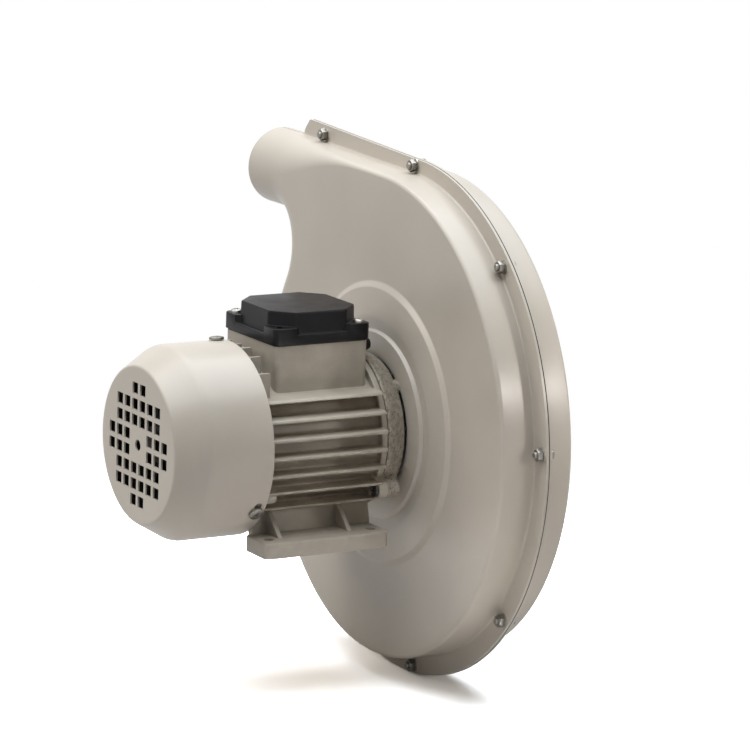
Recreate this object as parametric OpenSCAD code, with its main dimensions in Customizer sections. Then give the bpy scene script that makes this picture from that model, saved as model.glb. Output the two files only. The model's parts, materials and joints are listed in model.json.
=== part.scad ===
// Direct-drive centrifugal blower: a pressed two-part scroll casing on a foot-mounted motor.
// The origin is on the mounting surface, at the centre of the four foot holes.
// +Z is up, +Y runs along the shaft from the cooling fan to the scroll, and the outlet points to -X.

/* [Mounting feet] */
// Height of the shaft above the mounting surface
shaft_h = 71; // [70:0.5:80]
// Spacing of the foot holes across the shaft
foot_hole_x = 112; // [106:1:120]
// Spacing of the foot holes along the shaft
foot_hole_y = 80; // [70:1:84]
// Diameter of the foot holes
foot_hole_d = 7; // [5:0.5:9]
// Width of each foot pad
foot_w = 28; // [24:1:32]
// Length of each foot along the shaft
foot_len = 97; // [94:1:102]
// Thickness of each foot
foot_t = 11; // [8:0.5:13]

/* [Motor frame] */
// Outside radius of the frame barrel
barrel_r = 51; // [50.5:0.25:53]
// Wall thickness of the barrel
barrel_wall = 3.5; // [3:0.25:5]
// Barrel length behind the foot centre
barrel_back = 46; // [44:0.5:50]
// Barrel length in front of the foot centre
barrel_front = 52; // [51.5:0.5:56]
// Height of the side fins over the barrel
fin_rise = 12; // [7:0.5:14]
// Spacing of the side fins as a share of the barrel radius
fin_share = 0.247; // [0.225:0.001:0.255]
// Thickness of the fins
fin_t = 2.8; // [2:0.1:4]
// Height of the top fins over the barrel
top_fin_rise = 14; // [9:0.5:15]
// Spacing of the top fins as a share of the barrel radius
top_fin_share = 0.2745; // [0.24:0.0005:0.3]

/* [Endshields] */
// Length of the front endshield from the barrel to the scroll
shield_len = 18.5; // [17:0.5:24]
// Step from the barrel out to the endshields
shield_step = 5.5; // [3:0.5:6]
// Taper of the front endshield towards the scroll
shield_taper = 6; // [3.5:0.5:7.5]
// Distance of the front endshield bolts from the barrel
front_tie_out = 11; // [10:0.5:13]
// Distance of the rear endshield bolts from the barrel
rear_tie_out = 6; // [5:0.5:7]
// Angle of the lower endshield bolts below the horizontal
tie_drop = 33; // [32:0.5:36]

/* [Fan cowl] */
// Distance from the barrel to the outside of the cowl
cowl_rise = 16.5; // [15.5:0.5:19]
// Length of the cowl
cowl_len = 69; // [64:0.5:76]
// Overlap of the cowl past the end of the barrel
cowl_lap = 2.5; // [1:0.25:2.75]
// Width of the cowl's sloped shoulder
cowl_shoulder = 13; // [9.5:0.5:17.5]
// Length of the sloped shoulder of the cowl
cowl_slope = 22; // [16:0.5:26]
// Sheet thickness of the cowl
cowl_t = 1.2; // [0.8:0.1:1.6]
// Spacing of the square vents
vent_pitch = 11.1; // [10:0.1:12]
// Side of each square vent
vent_w = 7.3; // [5:0.1:8.5]

/* [Terminal box] */
// Side of the square lid
lid_w = 75; // [73:0.1:75.4]
// Height of the ledge round the lid
lid_ledge_h = 6.6; // [5:0.1:8]
// Height of the corner blocks that carry the lid screws
lid_rim_h = 11.3; // [9:0.1:13]
// Height of the raised octagon over the corner blocks
lid_top_h = 10.2; // [6:0.1:12]
// Distance from the foot centre to the middle of the box
box_y = 8.75; // [6:0.25:9]
// Height of the box rim over the barrel
box_rise = 17.6; // [17:0.2:23]
// Wall thickness of the box
box_wall = 3; // [2.5:0.1:4]

/* [Scroll casing] */
// Radius of the round part of the scroll wall
scroll_r = 166; // [162:1:172]
// Radius that the scroll gains between its side and its top
scroll_gain = 10; // [6:1:14]
// Distance from the split plane to the outside of each end plate
half_depth = 28; // [26:0.5:32]
// Sheet thickness of the casing
sheet = 1.8; // [1.2:0.1:2.4]
// Radius of the rounded edge between plate and wall
edge_r = 4.5; // [3:0.5:14]
// Radius of the same edge beside the tongue
curl_edge_r = 11; // [6:0.5:14]
// Width of the bolting flange
flange_w = 15; // [13:0.5:17]
// Thickness of the flange gasket
gasket_t = 0.8; // [0.5:0.1:1.2]
// Radius of the concave tongue under the outlet
tongue_r = 29; // [22:0.5:30]
// Radius of the raised disc round the motor
disc_r = 99.5; // [92:0.5:104]
// Rise of the disc from the plate
disc_rise = 2.5; // [1.5:0.1:4]
// Radius of the pad that the motor bolts to
pad_r = 65.3; // [63:0.5:68]
// Rise of the pad from the disc
pad_rise = 2.5; // [1.5:0.1:4]

/* [Outlet and inlet] */
// Outside radius of the round outlet
outlet_r = 28; // [26:0.5:32]
// Height of the outlet axis above the shaft
outlet_up = 153; // [149:0.5:157]
// Distance from the shaft to the end of the outlet
outlet_reach = 199; // [196:1:220]
// Length of the straight part of the outlet
outlet_len = 27; // [22:1:30]
// Inside radius of the inlet throat
inlet_r = 46; // [42:0.5:50]
// Radius of the inlet ring's flange
inlet_rim_r = 76; // [75:0.5:80]

/* [Impeller] */
// Outside radius of the impeller
wheel_r = 148; // [140:1:152]
// Gap between the rear plate and the impeller
wheel_gap = 8.7; // [7:0.1:10]
// Width of the blades at the rim
blade_w_out = 18; // [14:0.5:21]
// Width of the blades at the eye
blade_w_in = 28; // [25:0.5:28.5]
// Radius where the blades begin
blade_r = 58; // [56:0.5:64]
// Number of blades
blade_count = 12; // [8:1:16]
// Thickness of the blades and plates
blade_t = 1.5; // [1:0.1:2]
// Blade angle at the eye, from the tangent
blade_in = 30; // [26:1:36]
// Blade angle at the rim, from the tangent
blade_out = 50; // [44:1:56]

/* [Shaft and bearings] */
// Radius of the shaft in its bearings
shaft_r = 7.5; // [7:0.25:8]
// Radius of the shaft under the impeller hub
nose_r = 7; // [6:0.25:7]
// Outside radius of the bearings
bearing_r = 17.5; // [17:0.25:19]
// Width of the bearings
bearing_w = 11; // [10:0.5:12]
// Length of the stator core
stator_len = 60; // [50:1:62]
// Depth of the stator core from its outside to its bore
stator_depth = 19.5; // [18.5:0.25:21.5]

/* [Hidden] */
$fn = 64;

// Finishes
paint = "#B5ADA1";
cast_paint = "#A9A297";
black = "#26252B";
zinc = "#C9C8C2";
steel = "#9FA2A5";
aluminium = "#C4C6C8";
copper = "#A8623A";
brass = "#B9975B";
rubber = "#2B2B2B";

// Clearances and fits
fit = 0.02;
hole_gap = 0.25;
run_gap = 0.4;
eps = 0.3;
seam = 0.12;

// Radii that follow the barrel
bore_r = barrel_r - barrel_wall;
fin_r = barrel_r + fin_rise;
fin_pitch = barrel_r * fin_share;
top_fin_h = barrel_r + top_fin_rise;
top_fin_pitch = barrel_r * top_fin_share;
shield_r = barrel_r + shield_step;
shield_face_r = shield_r - shield_taper;
front_tie = barrel_r + front_tie_out;
rear_tie = barrel_r + rear_tie_out;
cowl_r = barrel_r + cowl_rise;
cowl_face_r = cowl_r - cowl_shoulder;
box_rim = barrel_r + box_rise;
stator_bore = bore_r - stator_depth;

// Stations along the shaft
face_y = barrel_front + shield_len;
plate_y = face_y + pad_rise + disc_rise;
split_y = plate_y + half_depth;
front_y = split_y + half_depth;
wheel_y = plate_y + sheet + wheel_gap;
blade_y = wheel_y + blade_t;
rear_seat = -barrel_back - 12;
wave_t = 1;
front_bearing = face_y - 3.5 - bearing_w;
rear_bearing = rear_seat + wave_t;
cowl_end = -barrel_back + cowl_lap - cowl_len;
cowl_rim = -barrel_back + cowl_lap;
stator_back = -28;
stator_front = stator_back + stator_len;

// Scroll plan, measured from the shaft axis
arc_c = [-scroll_gain, 0];
arc_r = scroll_r + scroll_gain;
neck_x = -outlet_reach + outlet_len;
run_end = [neck_x, outlet_up + outlet_r];
run_reach = run_end - arc_c;
arc_end = atan2(run_reach.y, run_reach.x) - acos(arc_r / norm(run_reach));
run_start = arc_c + arc_r * dir(arc_end);
tongue_y = outlet_up - outlet_r - tongue_r;
tongue_c = [-sqrt(pow(scroll_r + tongue_r, 2) - pow(tongue_y, 2)), tongue_y];
tongue_end = atan2(-tongue_c.y, -tongue_c.x);
wall_base = gasket_t / 2;
neck_r = half_depth - wall_base - 0.3;
join_r = disc_r + 10;
run_steps = 12;
arc_steps = 20;
round_steps = 46;
tongue_steps = 14;
curl_from = 0.48;
curl_to = 0.75;
edge_steps = 7;

// Scroll bolts
bolt_r = 2.5;
bolt_line = scroll_r + flange_w * 0.6;
bolt_first = 48;
bolt_step = 44;
bolt_around = 6;
washer_t = bolt_r * 0.4;
nut_t = bolt_r * 1.6;
nut_flats = bolt_r * 3.2;
rim_bolts = concat(
    [for (i = [0:bolt_around - 1]) bolt_line * dir(bolt_first - bolt_step * i)],
    [run_start + [0, flange_w * 0.37] + [2, 0]],
    [mix(run_end, run_start, 0.25) + [0, flange_w * 0.37]],
    [tongue_c + (tongue_r - flange_w * 0.37) * dir(40)]
);

// Inlet
inlet_t = 1.5;
inlet_bell = 14;
inlet_pcd = inlet_rim_r - 6;
guard_wire = 1.3;
tab_t = 1.5;

// Motor details
fin_top = barrel_r * 2 / 3;
fin_count = 7;
gusset_t = 5;
spigot = 3;
tie_angles = [90, -tie_drop, 180 + tie_drop];
tie_boss_r = 6;
tie_boss_len = 6.5;
tie_r = 2.5;
end_ring_t = 3.5;
end_ring_r = barrel_r + 4.5;
ear_len = 9;
// Station of the back of the front bolt boss at angle a: the top one is short, to clear the terminal box
function tie_back(a) = barrel_front - (a == 90 ? end_ring_t : tie_boss_len);
mount_pcd = shield_face_r - 4.5;
mount_r = 3;
face_relief = 3;
seal_r = shaft_r + 4.5;
cowl_screw_angles = [97, -37, 217];
cowl_screw_y = -barrel_back - 3.5;
cowl_screw_r = 2;
lug_r = cowl_r - cowl_t - 0.3;

// Terminal box details
box_w = lid_w - 2.4;
box_floor = barrel_r + 3;
lid_gasket_t = 1;
lid_z = box_rim + lid_gasket_t;
lid_screw = lid_w / 2 - 6.6;
lid_screw_r = 2;
octagon_w = lid_w - 7;
octagon_cut = 14.2;
lid_corner = 17;
// Corners of the lid: the first two carry screws, the others have open holes
lid_corners = [[-1, -1], [1, 1], [1, -1], [-1, 1]];
box_screw = [18, 22];
box_screw_r = 2;
block = [28, 13, 7];
stud_r = 1.5;
gland_x = 18;
gland_r = 5;
gland_z = shield_r + gland_r * 1.1;

// Impeller details
hub_r = 16;
hub_flange_r = 34;
hub_back = wheel_y - 8;
hub_front = wheel_y + 18;
rivet_pcd = 26;
rivet_r = 2.5;
key_w = 5;
key_h = 5;
key_len = 18;
keyway_cut = 60;
hub_flange_t = 4;
end_washer_t = 2.5;
end_bolt_len = 18;
fan_seat_r = shaft_r - 1.5;
fan_back = cowl_end + 14;
fan_front = rear_seat - 12;
fan_hub_r = 13;
fan_web_in = 8;
fan_web_t = 2;
core_r = stator_bore - run_gap;
core_bore = shaft_r + 1.5;
ball_r = 2.95;
ball_line = (shaft_r + bearing_r) / 2;
ball_count = 8;

// Plane geometry
function dir(a) = [cos(a), sin(a)];
function mix(a, b, t) = a + (b - a) * t;
function ease(t) = t * t * (3 - 2 * t);
function unit(v) = v / norm(v);
function left(v) = [-v.y, v.x];
function flip(list) = [for (i = [len(list) - 1:-1:0]) list[i]];

// Points of an arc of radius r that rounds corner b of the path a, b, c
function corner(a, b, c, r, n = 6) =
    let (
        u = unit(a - b),
        w = unit(c - b),
        half = acos(u * w) / 2,
        centre = b + unit(u + w) * r / sin(half),
        p = b + u * r / tan(half) - centre,
        q = b + w * r / tan(half) - centre,
        start = atan2(p.y, p.x),
        turn = atan2(cross(p, q), p * q)
    )
    [for (i = [0:n]) centre + r * dir(start + turn * i / n)];

// Open path with each inner corner i rounded by radii[i]
function rounded(path, radii) = [
    for (i = [0:len(path) - 1])
        for (p = radii[i] > 0 ? corner(path[i - 1], path[i], path[i + 1], radii[i]) : [path[i]]) p
];

// Open path moved to its left by t
function shifted(path, t) = [
    for (i = [0:len(path) - 1])
        let (
            n = left(unit(path[min(i + 1, len(path) - 1)] - path[min(i, len(path) - 2)])),
            m = left(unit(path[max(i, 1)] - path[max(i - 1, 0)]))
        )
        path[i] + t * (n + m) / (1 + n * m)
];

// Corner radii of a path moved to its left by t
function shifted_radii(path, radii, t) = [
    for (i = [0:len(path) - 1])
        radii[i] == 0 ? 0 :
            radii[i] - t * sign(cross(path[i] - path[i - 1], path[i + 1] - path[i]))
];

// Closed outline of a sheet of thickness t to the left of a path
function sheet_outline(path, radii, t) = concat(
    rounded(path, radii),
    flip(rounded(shifted(path, t), shifted_radii(path, radii, t)))
);

// Placing helpers: along() extrudes a plan drawn as [x, height above the shaft] from y0 to y1
module along(y0, y1) translate([0, y1, shaft_h]) rotate([90, 0, 0]) linear_extrude(y1 - y0) children();
// turned() revolves a profile drawn as [radius, station along the shaft]
module turned() translate([0, 0, shaft_h]) rotate([-90, 0, 0]) rotate_extrude($fn = 96) children();
// at_plan() puts children at a plan point, with local z running along +Y from station y
module at_plan(p, y) translate([p.x, y, shaft_h + p.y]) rotate([-90, 0, 0]) children();
// casing() stands children on the split plane, with local z running out of one scroll half
module casing(side) translate([0, split_y, shaft_h]) rotate([90, 0, 0])
    mirror([0, 0, side < 0 ? 1 : 0]) children();

// Fasteners run along local z, with the seat of the head at zero
module shank(r, length) cylinder(r = r, h = length, $fn = 32);
module pan_head(r, h) translate([0, 0, -h]) cylinder(r1 = r * 0.8, r2 = r, h = h, $fn = 32);
module hex(flats, h) rotate(30) cylinder(r = flats / sqrt(3), h = h, $fn = 6);
module pan_screw(r, length) {
    pan_head(r * 1.95, r * 1.2);
    shank(r, length);
}
module hex_screw(r, length) {
    translate([0, 0, -r * 1.4]) hex(r * 3.2, r * 1.4);
    translate([0, 0, -r]) shank(r, length + r);
}
module rounded_block(w, d, h, r) linear_extrude(h) {
    square([w - 2 * r, d], center = true);
    square([w, d - 2 * r], center = true);
    for (x = [-1, 1], y = [-1, 1]) translate([x * (w / 2 - r), y * (d / 2 - r)]) circle(r = r);
}

// Share of the tongue side's edge radius at share u of the round part
function curl_share(u) = ease(min(1, max(0, (u - curl_from) / (curl_to - curl_from))));

// Stations round the scroll wall, clockwise from the outlet's top: [point, inward normal, edge radius]
scroll_stations = concat(
    [for (i = [0:run_steps]) let (t = i / run_steps)
        [mix(run_end, run_start, t), -dir(mix(90, arc_end, ease(t))), mix(neck_r, edge_r, ease(t))]],
    [for (i = [1:arc_steps]) let (a = arc_end * (1 - i / arc_steps))
        [arc_c + arc_r * dir(a), -dir(a), edge_r]],
    [for (i = [1:round_steps]) let (a = -(180 - tongue_end) * i / round_steps)
        [scroll_r * dir(a), -dir(a), mix(edge_r, curl_edge_r, curl_share(i / round_steps))]],
    [for (i = [1:tongue_steps]) let (t = i / tongue_steps, a = mix(tongue_end, 90, t))
        [tongue_c + tongue_r * dir(a), dir(a), mix(curl_edge_r, neck_r, ease(t))]],
    [[[neck_x, outlet_up - outlet_r], [0, 1], neck_r]]
);
station_count = len(scroll_stations);
neck_angle = atan2(outlet_up, neck_x);

// Angle about the shaft of the plate's inner edge at station i, in even steps over the neck
function join_angle(i) =
    let (
        run_angle = atan2(run_start.y, run_start.x),
        round_last = run_steps + arc_steps + round_steps,
        tongue_angle = 180 + tongue_end,
        p = scroll_stations[i][0]
    )
    i < run_steps ? mix(neck_angle - 0.5, run_angle, i / run_steps) :
    i > round_last ?
        mix(tongue_angle, neck_angle + 0.5, (i - round_last) / (station_count - 1 - round_last)) :
    atan2(p.y, p.x);

// Section of the pressed shell at station i, on the face that lies t inside the outer one
function shell_section(i, t, rim_r) =
    let (
        s = scroll_stations[i],
        r = s[2] - t,
        top = half_depth - t,
        wall = s[0] + s[1] * t,
        inner = rim_r * dir(join_angle(i))
    )
    concat(
        [[wall.x, wall.y, wall_base]],
        [for (j = [0:edge_steps]) let (a = 90 * j / edge_steps, p = wall + s[1] * r * (1 - cos(a)))
            [p.x, p.y, top - r + r * sin(a)]],
        [[inner.x, inner.y, top]]
    );

// Pressed shell from the flange to a round hole of radius rim_r in its end plate
module pressed_shell(rim_r) {
    n = station_count;
    m = edge_steps + 3;
    points = [for (t = [0, sheet]) for (i = [0:n - 1]) for (p = shell_section(i, t, rim_r)) p];
    function at(k, i, j) = (k * n + i % n) * m + j;
    function quad(a, b, c, d) = [[a, b, c], [a, c, d]];
    faces = [
        for (i = [0:n - 1], j = [0:m - 2]) if (i < n - 1 || j == m - 2)
            each concat(
                quad(at(0, i, j), at(0, i + 1, j), at(0, i + 1, j + 1), at(0, i, j + 1)),
                quad(at(1, i, j), at(1, i, j + 1), at(1, i + 1, j + 1), at(1, i + 1, j))
            ),
        for (i = [0:n - 2]) each quad(at(0, i + 1, 0), at(0, i, 0), at(1, i, 0), at(1, i + 1, 0)),
        for (i = [0:n - 1])
            each quad(at(0, i, m - 1), at(0, i + 1, m - 1), at(1, i + 1, m - 1), at(1, i, m - 1)),
        for (j = [0:m - 3]) each concat(
            quad(at(0, 0, j), at(0, 0, j + 1), at(1, 0, j + 1), at(1, 0, j)),
            quad(at(0, n - 1, j), at(1, n - 1, j), at(1, n - 1, j + 1), at(0, n - 1, j + 1))
        ),
        each quad(at(0, 0, m - 2), at(0, n - 1, m - 2), at(1, n - 1, m - 2), at(1, 0, m - 2))
    ];
    polyhedron(points = points, faces = faces, convexity = 8);
}

// Half of the straight outlet tube
module outlet_half() translate([-outlet_reach, outlet_up, 0]) rotate([0, 90, 0]) difference() {
    cylinder(r = outlet_r, h = outlet_len - seam);
    translate([0, 0, -1]) cylinder(r = outlet_r - sheet, h = outlet_len + 2);
    translate([-seam / 2, -outlet_r - 1, -1]) cube([outlet_r * 2, outlet_r * 2 + 2, outlet_len + 2]);
}

// Quarter of a disc, from its side to its top
module quarter(c, r) translate(c) intersection() {
    circle(r = r);
    square(r + 1);
}

// Plan of everything inside the scroll wall, moved inward by t
module wall_plan(t) difference() {
    union() {
        circle(r = scroll_r - t);
        quarter(arc_c, arc_r - t);
        polygon([
            [0, 0], run_start - t * dir(arc_end), run_end - t * dir(arc_end),
            [-outlet_reach - 1, run_end.y - t], [-outlet_reach - 1, outlet_up - outlet_r + t],
            [tongue_c.x, outlet_up - outlet_r + t], tongue_c
        ]);
    }
    translate(tongue_c) circle(r = tongue_r + t);
}

// Bolting flange outside the wall, from the wall's face moved inward by t to the flange's edge
module flange_plan(t) difference() {
    slant = flange_w * 0.8;
    union() {
        circle(r = scroll_r + flange_w);
        quarter([-scroll_gain / 2, 0], scroll_r + flange_w + scroll_gain / 2);
        polygon([
            [0, scroll_r - flange_w], [-scroll_gain / 2, scroll_r + flange_w + scroll_gain / 2],
            run_end + [slant + 7, slant], run_end + [7, 0], [run_end.x + 7, outlet_up], [0, outlet_up - 20]
        ]);
        polygon([[0, 0], [0, outlet_up], [tongue_c.x, outlet_up], tongue_c]);
    }
    translate(tongue_c) circle(r = tongue_r - flange_w * 0.8);
    wall_plan(t);
    for (p = rim_bolts) translate(p) circle(r = bolt_r + hole_gap, $fn = 32);
}

// One half of the casing without the middle of its end plate; its pieces meet at fine seams
module scroll_half(rim_r) {
    translate([0, 0, gasket_t / 2]) linear_extrude(sheet) flange_plan(-seam);
    outlet_half();
    pressed_shell(rim_r);
}

// Rear half: raised disc and pad, shaft hole and motor screw holes in the end plate
module rear_scroll_half() color(paint) casing(1) {
    pad_z = half_depth + disc_rise + pad_rise;
    path = [
        [join_r - seam, half_depth], [disc_r + disc_rise, half_depth],
        [disc_r - disc_rise, half_depth + disc_rise], [pad_r + 7, half_depth + disc_rise],
        [pad_r, pad_z], [shaft_r + 6, pad_z]
    ];
    radii = [0, 4, 4, 3, 2.5, 0];
    scroll_half(join_r);
    difference() {
        rotate_extrude($fn = 96) polygon(sheet_outline(path, radii, sheet));
        for (a = [45:90:315])
            translate([mount_pcd * cos(a), mount_pcd * sin(a), half_depth])
                cylinder(r = mount_r + hole_gap, h = pad_z, $fn = 32);
    }
}

// Front half: round hole for the inlet ring
module front_scroll_half() color(paint) casing(-1) {
    scroll_half(join_r);
    translate([0, 0, half_depth - sheet]) linear_extrude(sheet) difference() {
        circle(r = join_r - seam, $fn = 96);
        circle(r = inlet_r + inlet_bell + 3, $fn = 96);
        for (a = [45:90:315]) translate(inlet_pcd * dir(a)) circle(r = bolt_r + fit, $fn = 32);
    }
}

module flange_gasket() color(rubber)
    along(split_y - gasket_t / 2, split_y + gasket_t / 2) flange_plan(sheet);

module scroll_bolts() color(zinc) for (p = rim_bolts)
    at_plan(p, split_y + gasket_t / 2 + sheet) rotate([180, 0, 0])
        hex_screw(bolt_r, 2 * sheet + gasket_t + washer_t + nut_t + 1.5);

module scroll_washers() color(zinc) for (p = rim_bolts)
    at_plan(p, split_y - gasket_t / 2 - sheet - washer_t) difference() {
        cylinder(r = bolt_r * 2, h = washer_t, $fn = 32);
        translate([0, 0, -washer_t]) cylinder(r = bolt_r + hole_gap, h = 3 * washer_t, $fn = 32);
    }

module scroll_nuts() color(zinc) for (p = rim_bolts)
    at_plan(p, split_y - gasket_t / 2 - sheet - washer_t - nut_t) difference() {
        hex(nut_flats, nut_t);
        translate([0, 0, -1]) cylinder(r = bolt_r + fit, h = nut_t + 2, $fn = 32);
    }

// Spun inlet ring with a rounded mouth that reaches into the impeller's eye
module inlet_ring() color(paint) difference() {
    path = [
        [inlet_rim_r, front_y + inlet_t], [inlet_r, front_y + inlet_t], [inlet_r, blade_y + blade_w_in + 2]
    ];
    turned() polygon(sheet_outline(path, [0, inlet_bell, 0], inlet_t));
    for (a = [45:90:315])
        at_plan(inlet_pcd * dir(a), front_y - 1) cylinder(r = bolt_r + hole_gap, h = inlet_t + 2, $fn = 32);
}

// Stamped guard: rings and spokes of one sheet, with four tabs under the screws
module inlet_guard() color(zinc) {
    base = front_y + inlet_t;
    ring_r = inlet_r + inlet_bell + 4;
    spacing = ring_r / 5;
    along(base, base + tab_t) difference() {
        union() {
            circle(r = spacing * 0.8);
            for (i = [2:5]) difference() {
                circle(r = spacing * i + guard_wire, $fn = 96);
                circle(r = spacing * i - guard_wire, $fn = 96);
            }
            for (a = [0:45:315])
                rotate(a) translate([spacing * 0.5, -guard_wire])
                    square([ring_r - spacing * 0.5, 2 * guard_wire]);
            for (a = [45:90:315]) translate((inlet_pcd - 2) * dir(a)) circle(r = 6.5, $fn = 32);
        }
        for (a = [45:90:315]) translate(inlet_pcd * dir(a)) circle(r = bolt_r + hole_gap, $fn = 32);
    }
}

module inlet_screws() color(zinc) for (a = [45:90:315])
    at_plan(inlet_pcd * dir(a), front_y + inlet_t + tab_t) rotate([180, 0, 0])
        pan_screw(bolt_r, inlet_t + tab_t + sheet + 4);

module motor_mount_screws() color(zinc) for (a = [45:90:315])
    at_plan(mount_pcd * dir(a), face_y + sheet) rotate([180, 0, 0]) pan_screw(mount_r, sheet + 6.5);

// Boss for the endshield bolt at angle a on a circle of radius r, with a rib down to the barrel
module tie_boss(a, r, y0, y1) {
    at_plan(r * dir(a), y0) cylinder(r = tie_boss_r, h = y1 - y0);
    along(y0, y1) rotate(a) translate([bore_r + 1, -5]) square([r - bore_r - 1, 10]);
}

// Cast front endshield: bearing housing, spigot, ears and a face relieved between its four pads
module front_endshield() color(cast_paint) difference() {
    seat = bearing_r + fit;
    spigot_r = bore_r - 0.1;
    bell_r = bore_r - 3.5;
    housing_r = bearing_r + 5.5;
    web_y = face_y - 7.5;
    union() {
        turned() polygon([
            [seal_r, face_y], [shield_face_r, face_y], [shield_face_r, face_y - 1.5],
            [shield_r, barrel_front + 2], [shield_r, barrel_front], [spigot_r, barrel_front],
            [spigot_r, barrel_front - spigot], [bell_r, barrel_front - spigot], [bell_r, web_y],
            [housing_r, web_y], [housing_r, front_bearing - 1.5], [seat, front_bearing - 1.5],
            [seat, front_bearing + bearing_w], [seal_r, front_bearing + bearing_w]
        ]);
        for (a = tie_angles) tie_boss(a, front_tie, barrel_front, barrel_front + ear_len);
        for (a = [45:90:315]) at_plan(mount_pcd * dir(a), face_y - 12) cylinder(r = tie_boss_r, h = 12);
    }
    for (a = tie_angles) at_plan(front_tie * dir(a), barrel_front - 1) shank(tie_r + fit, 8);
    for (a = [45:90:315]) at_plan(mount_pcd * dir(a), web_y - 1) shank(mount_r + fit, 10);
    along(face_y - face_relief, face_y + 1) difference() {
        circle(r = shield_r + 5);
        circle(r = mount_pcd - tie_boss_r + 1.5);
        for (a = [45:90:315]) translate(mount_pcd * dir(a)) circle(r = tie_boss_r - 0.4);
    }
}

module shaft_seal() color(rubber) turned() polygon([
    [shaft_r + run_gap, face_y - 3], [seal_r - fit, face_y - 3], [seal_r - fit, face_y - 0.5],
    [shaft_r + 2, face_y - 0.5], [shaft_r + run_gap, face_y - 1.5]
]);

// Both bearings: children draw one, with local z running along +Y from its inner face
module at_bearings() for (y = [front_bearing, rear_bearing]) at_plan([0, 0], y) children();

module bearing_outer_rings() color(steel) at_bearings() rotate_extrude() difference() {
    translate([ball_line + 2.3, 0]) square([bearing_r - ball_line - 2.3, bearing_w]);
    translate([ball_line, bearing_w / 2]) circle(r = ball_r + run_gap, $fn = 48);
}

module wave_washer() color(steel) turned() polygon([
    [bearing_r - 4, rear_seat], [bearing_r - 0.3, rear_seat],
    [bearing_r - 0.3, rear_seat + wave_t], [bearing_r - 4, rear_seat + wave_t]
]);

// Frame barrel with fins, feet, bolt bosses and a seat for the terminal box
module motor_frame() color(paint) difference() {
    fin_back = cowl_rim + 0.5;
    top_fin_end = box_y - lid_w / 2 - 6;
    fin_front = barrel_front - end_ring_t;
    union() {
        along(-barrel_back, barrel_front) circle(r = barrel_r);
        along(fin_front - 1, barrel_front) circle(r = end_ring_r);
        along(fin_back, fin_front) side_fins();
        along(fin_back, top_fin_end) top_fins();
        along(fin_back, fin_front) mirror([0, 1]) under_fins();
        along(-foot_len / 2, foot_len / 2) foot_pads();
        along(fin_back, foot_len / 2) foot_webs();
        for (y = [-foot_len * 0.32, foot_len * 0.24])
            along(y - gusset_t / 2, y + gusset_t / 2) foot_gussets();
        for (a = tie_angles) {
            tie_boss(a, front_tie, tie_back(a), barrel_front);
            tie_boss(a, rear_tie, fin_back, fin_back + 10);
        }
    }
    along(-barrel_back - 1, barrel_front + 1) circle(r = bore_r);
    for (a = tie_angles) {
        at_plan(front_tie * dir(a), tie_back(a) - 1) shank(tie_r + hole_gap, tie_boss_len + 2);
        at_plan(front_tie * dir(a), tie_back(a) - 14) cylinder(r = tie_r * 1.95 + 0.3, h = 14);
        at_plan(rear_tie * dir(a), fin_back - 1) shank(tie_r + fit, 10);
    }
    for (x = [-1, 1], y = [-1, 1])
        translate([x * foot_hole_x / 2, y * foot_hole_y / 2, -1])
            cylinder(d = foot_hole_d, h = foot_t + 2, $fn = 48);
    translate([0, box_y, shaft_h]) cylinder(r = 9, h = box_floor);
    at_box_screws() shank(box_screw_r + fit, 12);
}

module side_fins() intersection() {
    circle(r = fin_r);
    for (side = [0, 1], i = [0:fin_count - 1]) mirror([side, 0])
        translate([barrel_r * 0.2, fin_top - fin_pitch * i - fin_t / 2]) square([fin_r, fin_t]);
}

module top_fins() intersection() {
    circle(r = fin_r * 1.08);
    translate([-fin_r, 0]) square([2 * fin_r, top_fin_h]);
    for (i = [-3:3]) translate([i * top_fin_pitch - fin_t / 2, barrel_r * 0.3]) square([fin_t, fin_r]);
}

module under_fins() intersection() {
    circle(r = fin_r);
    for (i = [-1:1]) translate([i * top_fin_pitch - fin_t / 2, barrel_r * 0.5]) square([fin_t, fin_r]);
}

module foot_pads() for (side = [0, 1]) mirror([side, 0])
    translate([foot_hole_x / 2 - foot_w / 2 - 2, -shaft_h]) square([foot_w, foot_t]);

module foot_webs() for (side = [0, 1]) mirror([side, 0]) {
    inner = foot_hole_x / 2 - foot_w / 2 - 2;
    polygon([
        [inner, foot_t - shaft_h - 2], [inner + 11, foot_t - shaft_h - 2], [inner + 11, foot_t - shaft_h],
        [barrel_r * 0.8, -barrel_r * 0.66], [barrel_r * 0.5, -barrel_r * 0.8]
    ]);
}

module foot_gussets() for (side = [0, 1]) mirror([side, 0]) {
    inner = foot_hole_x / 2 - foot_w / 2 - 2;
    polygon([
        [inner, foot_t - shaft_h - 1], [inner + foot_w - 5, foot_t - shaft_h - 1],
        [inner + foot_w - 5, foot_t - shaft_h],
        [barrel_r * 0.82, -barrel_r * 0.6], [barrel_r * 0.6, -barrel_r * 0.7]
    ]);
}

// Laminated stator with round-ended slots
module stator_core() color(steel) along(stator_back, stator_front) difference() {
    circle(r = bore_r - fit, $fn = 96);
    circle(r = stator_bore, $fn = 96);
    for (a = [0:15:345]) rotate(a) {
        translate([stator_bore + 1.5, -1.9]) square([9, 3.8]);
        translate([stator_bore + 10.5, 0]) circle(r = 1.9, $fn = 24);
        translate([stator_bore - 1, -0.8]) square([3, 1.6]);
    }
}

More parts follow.
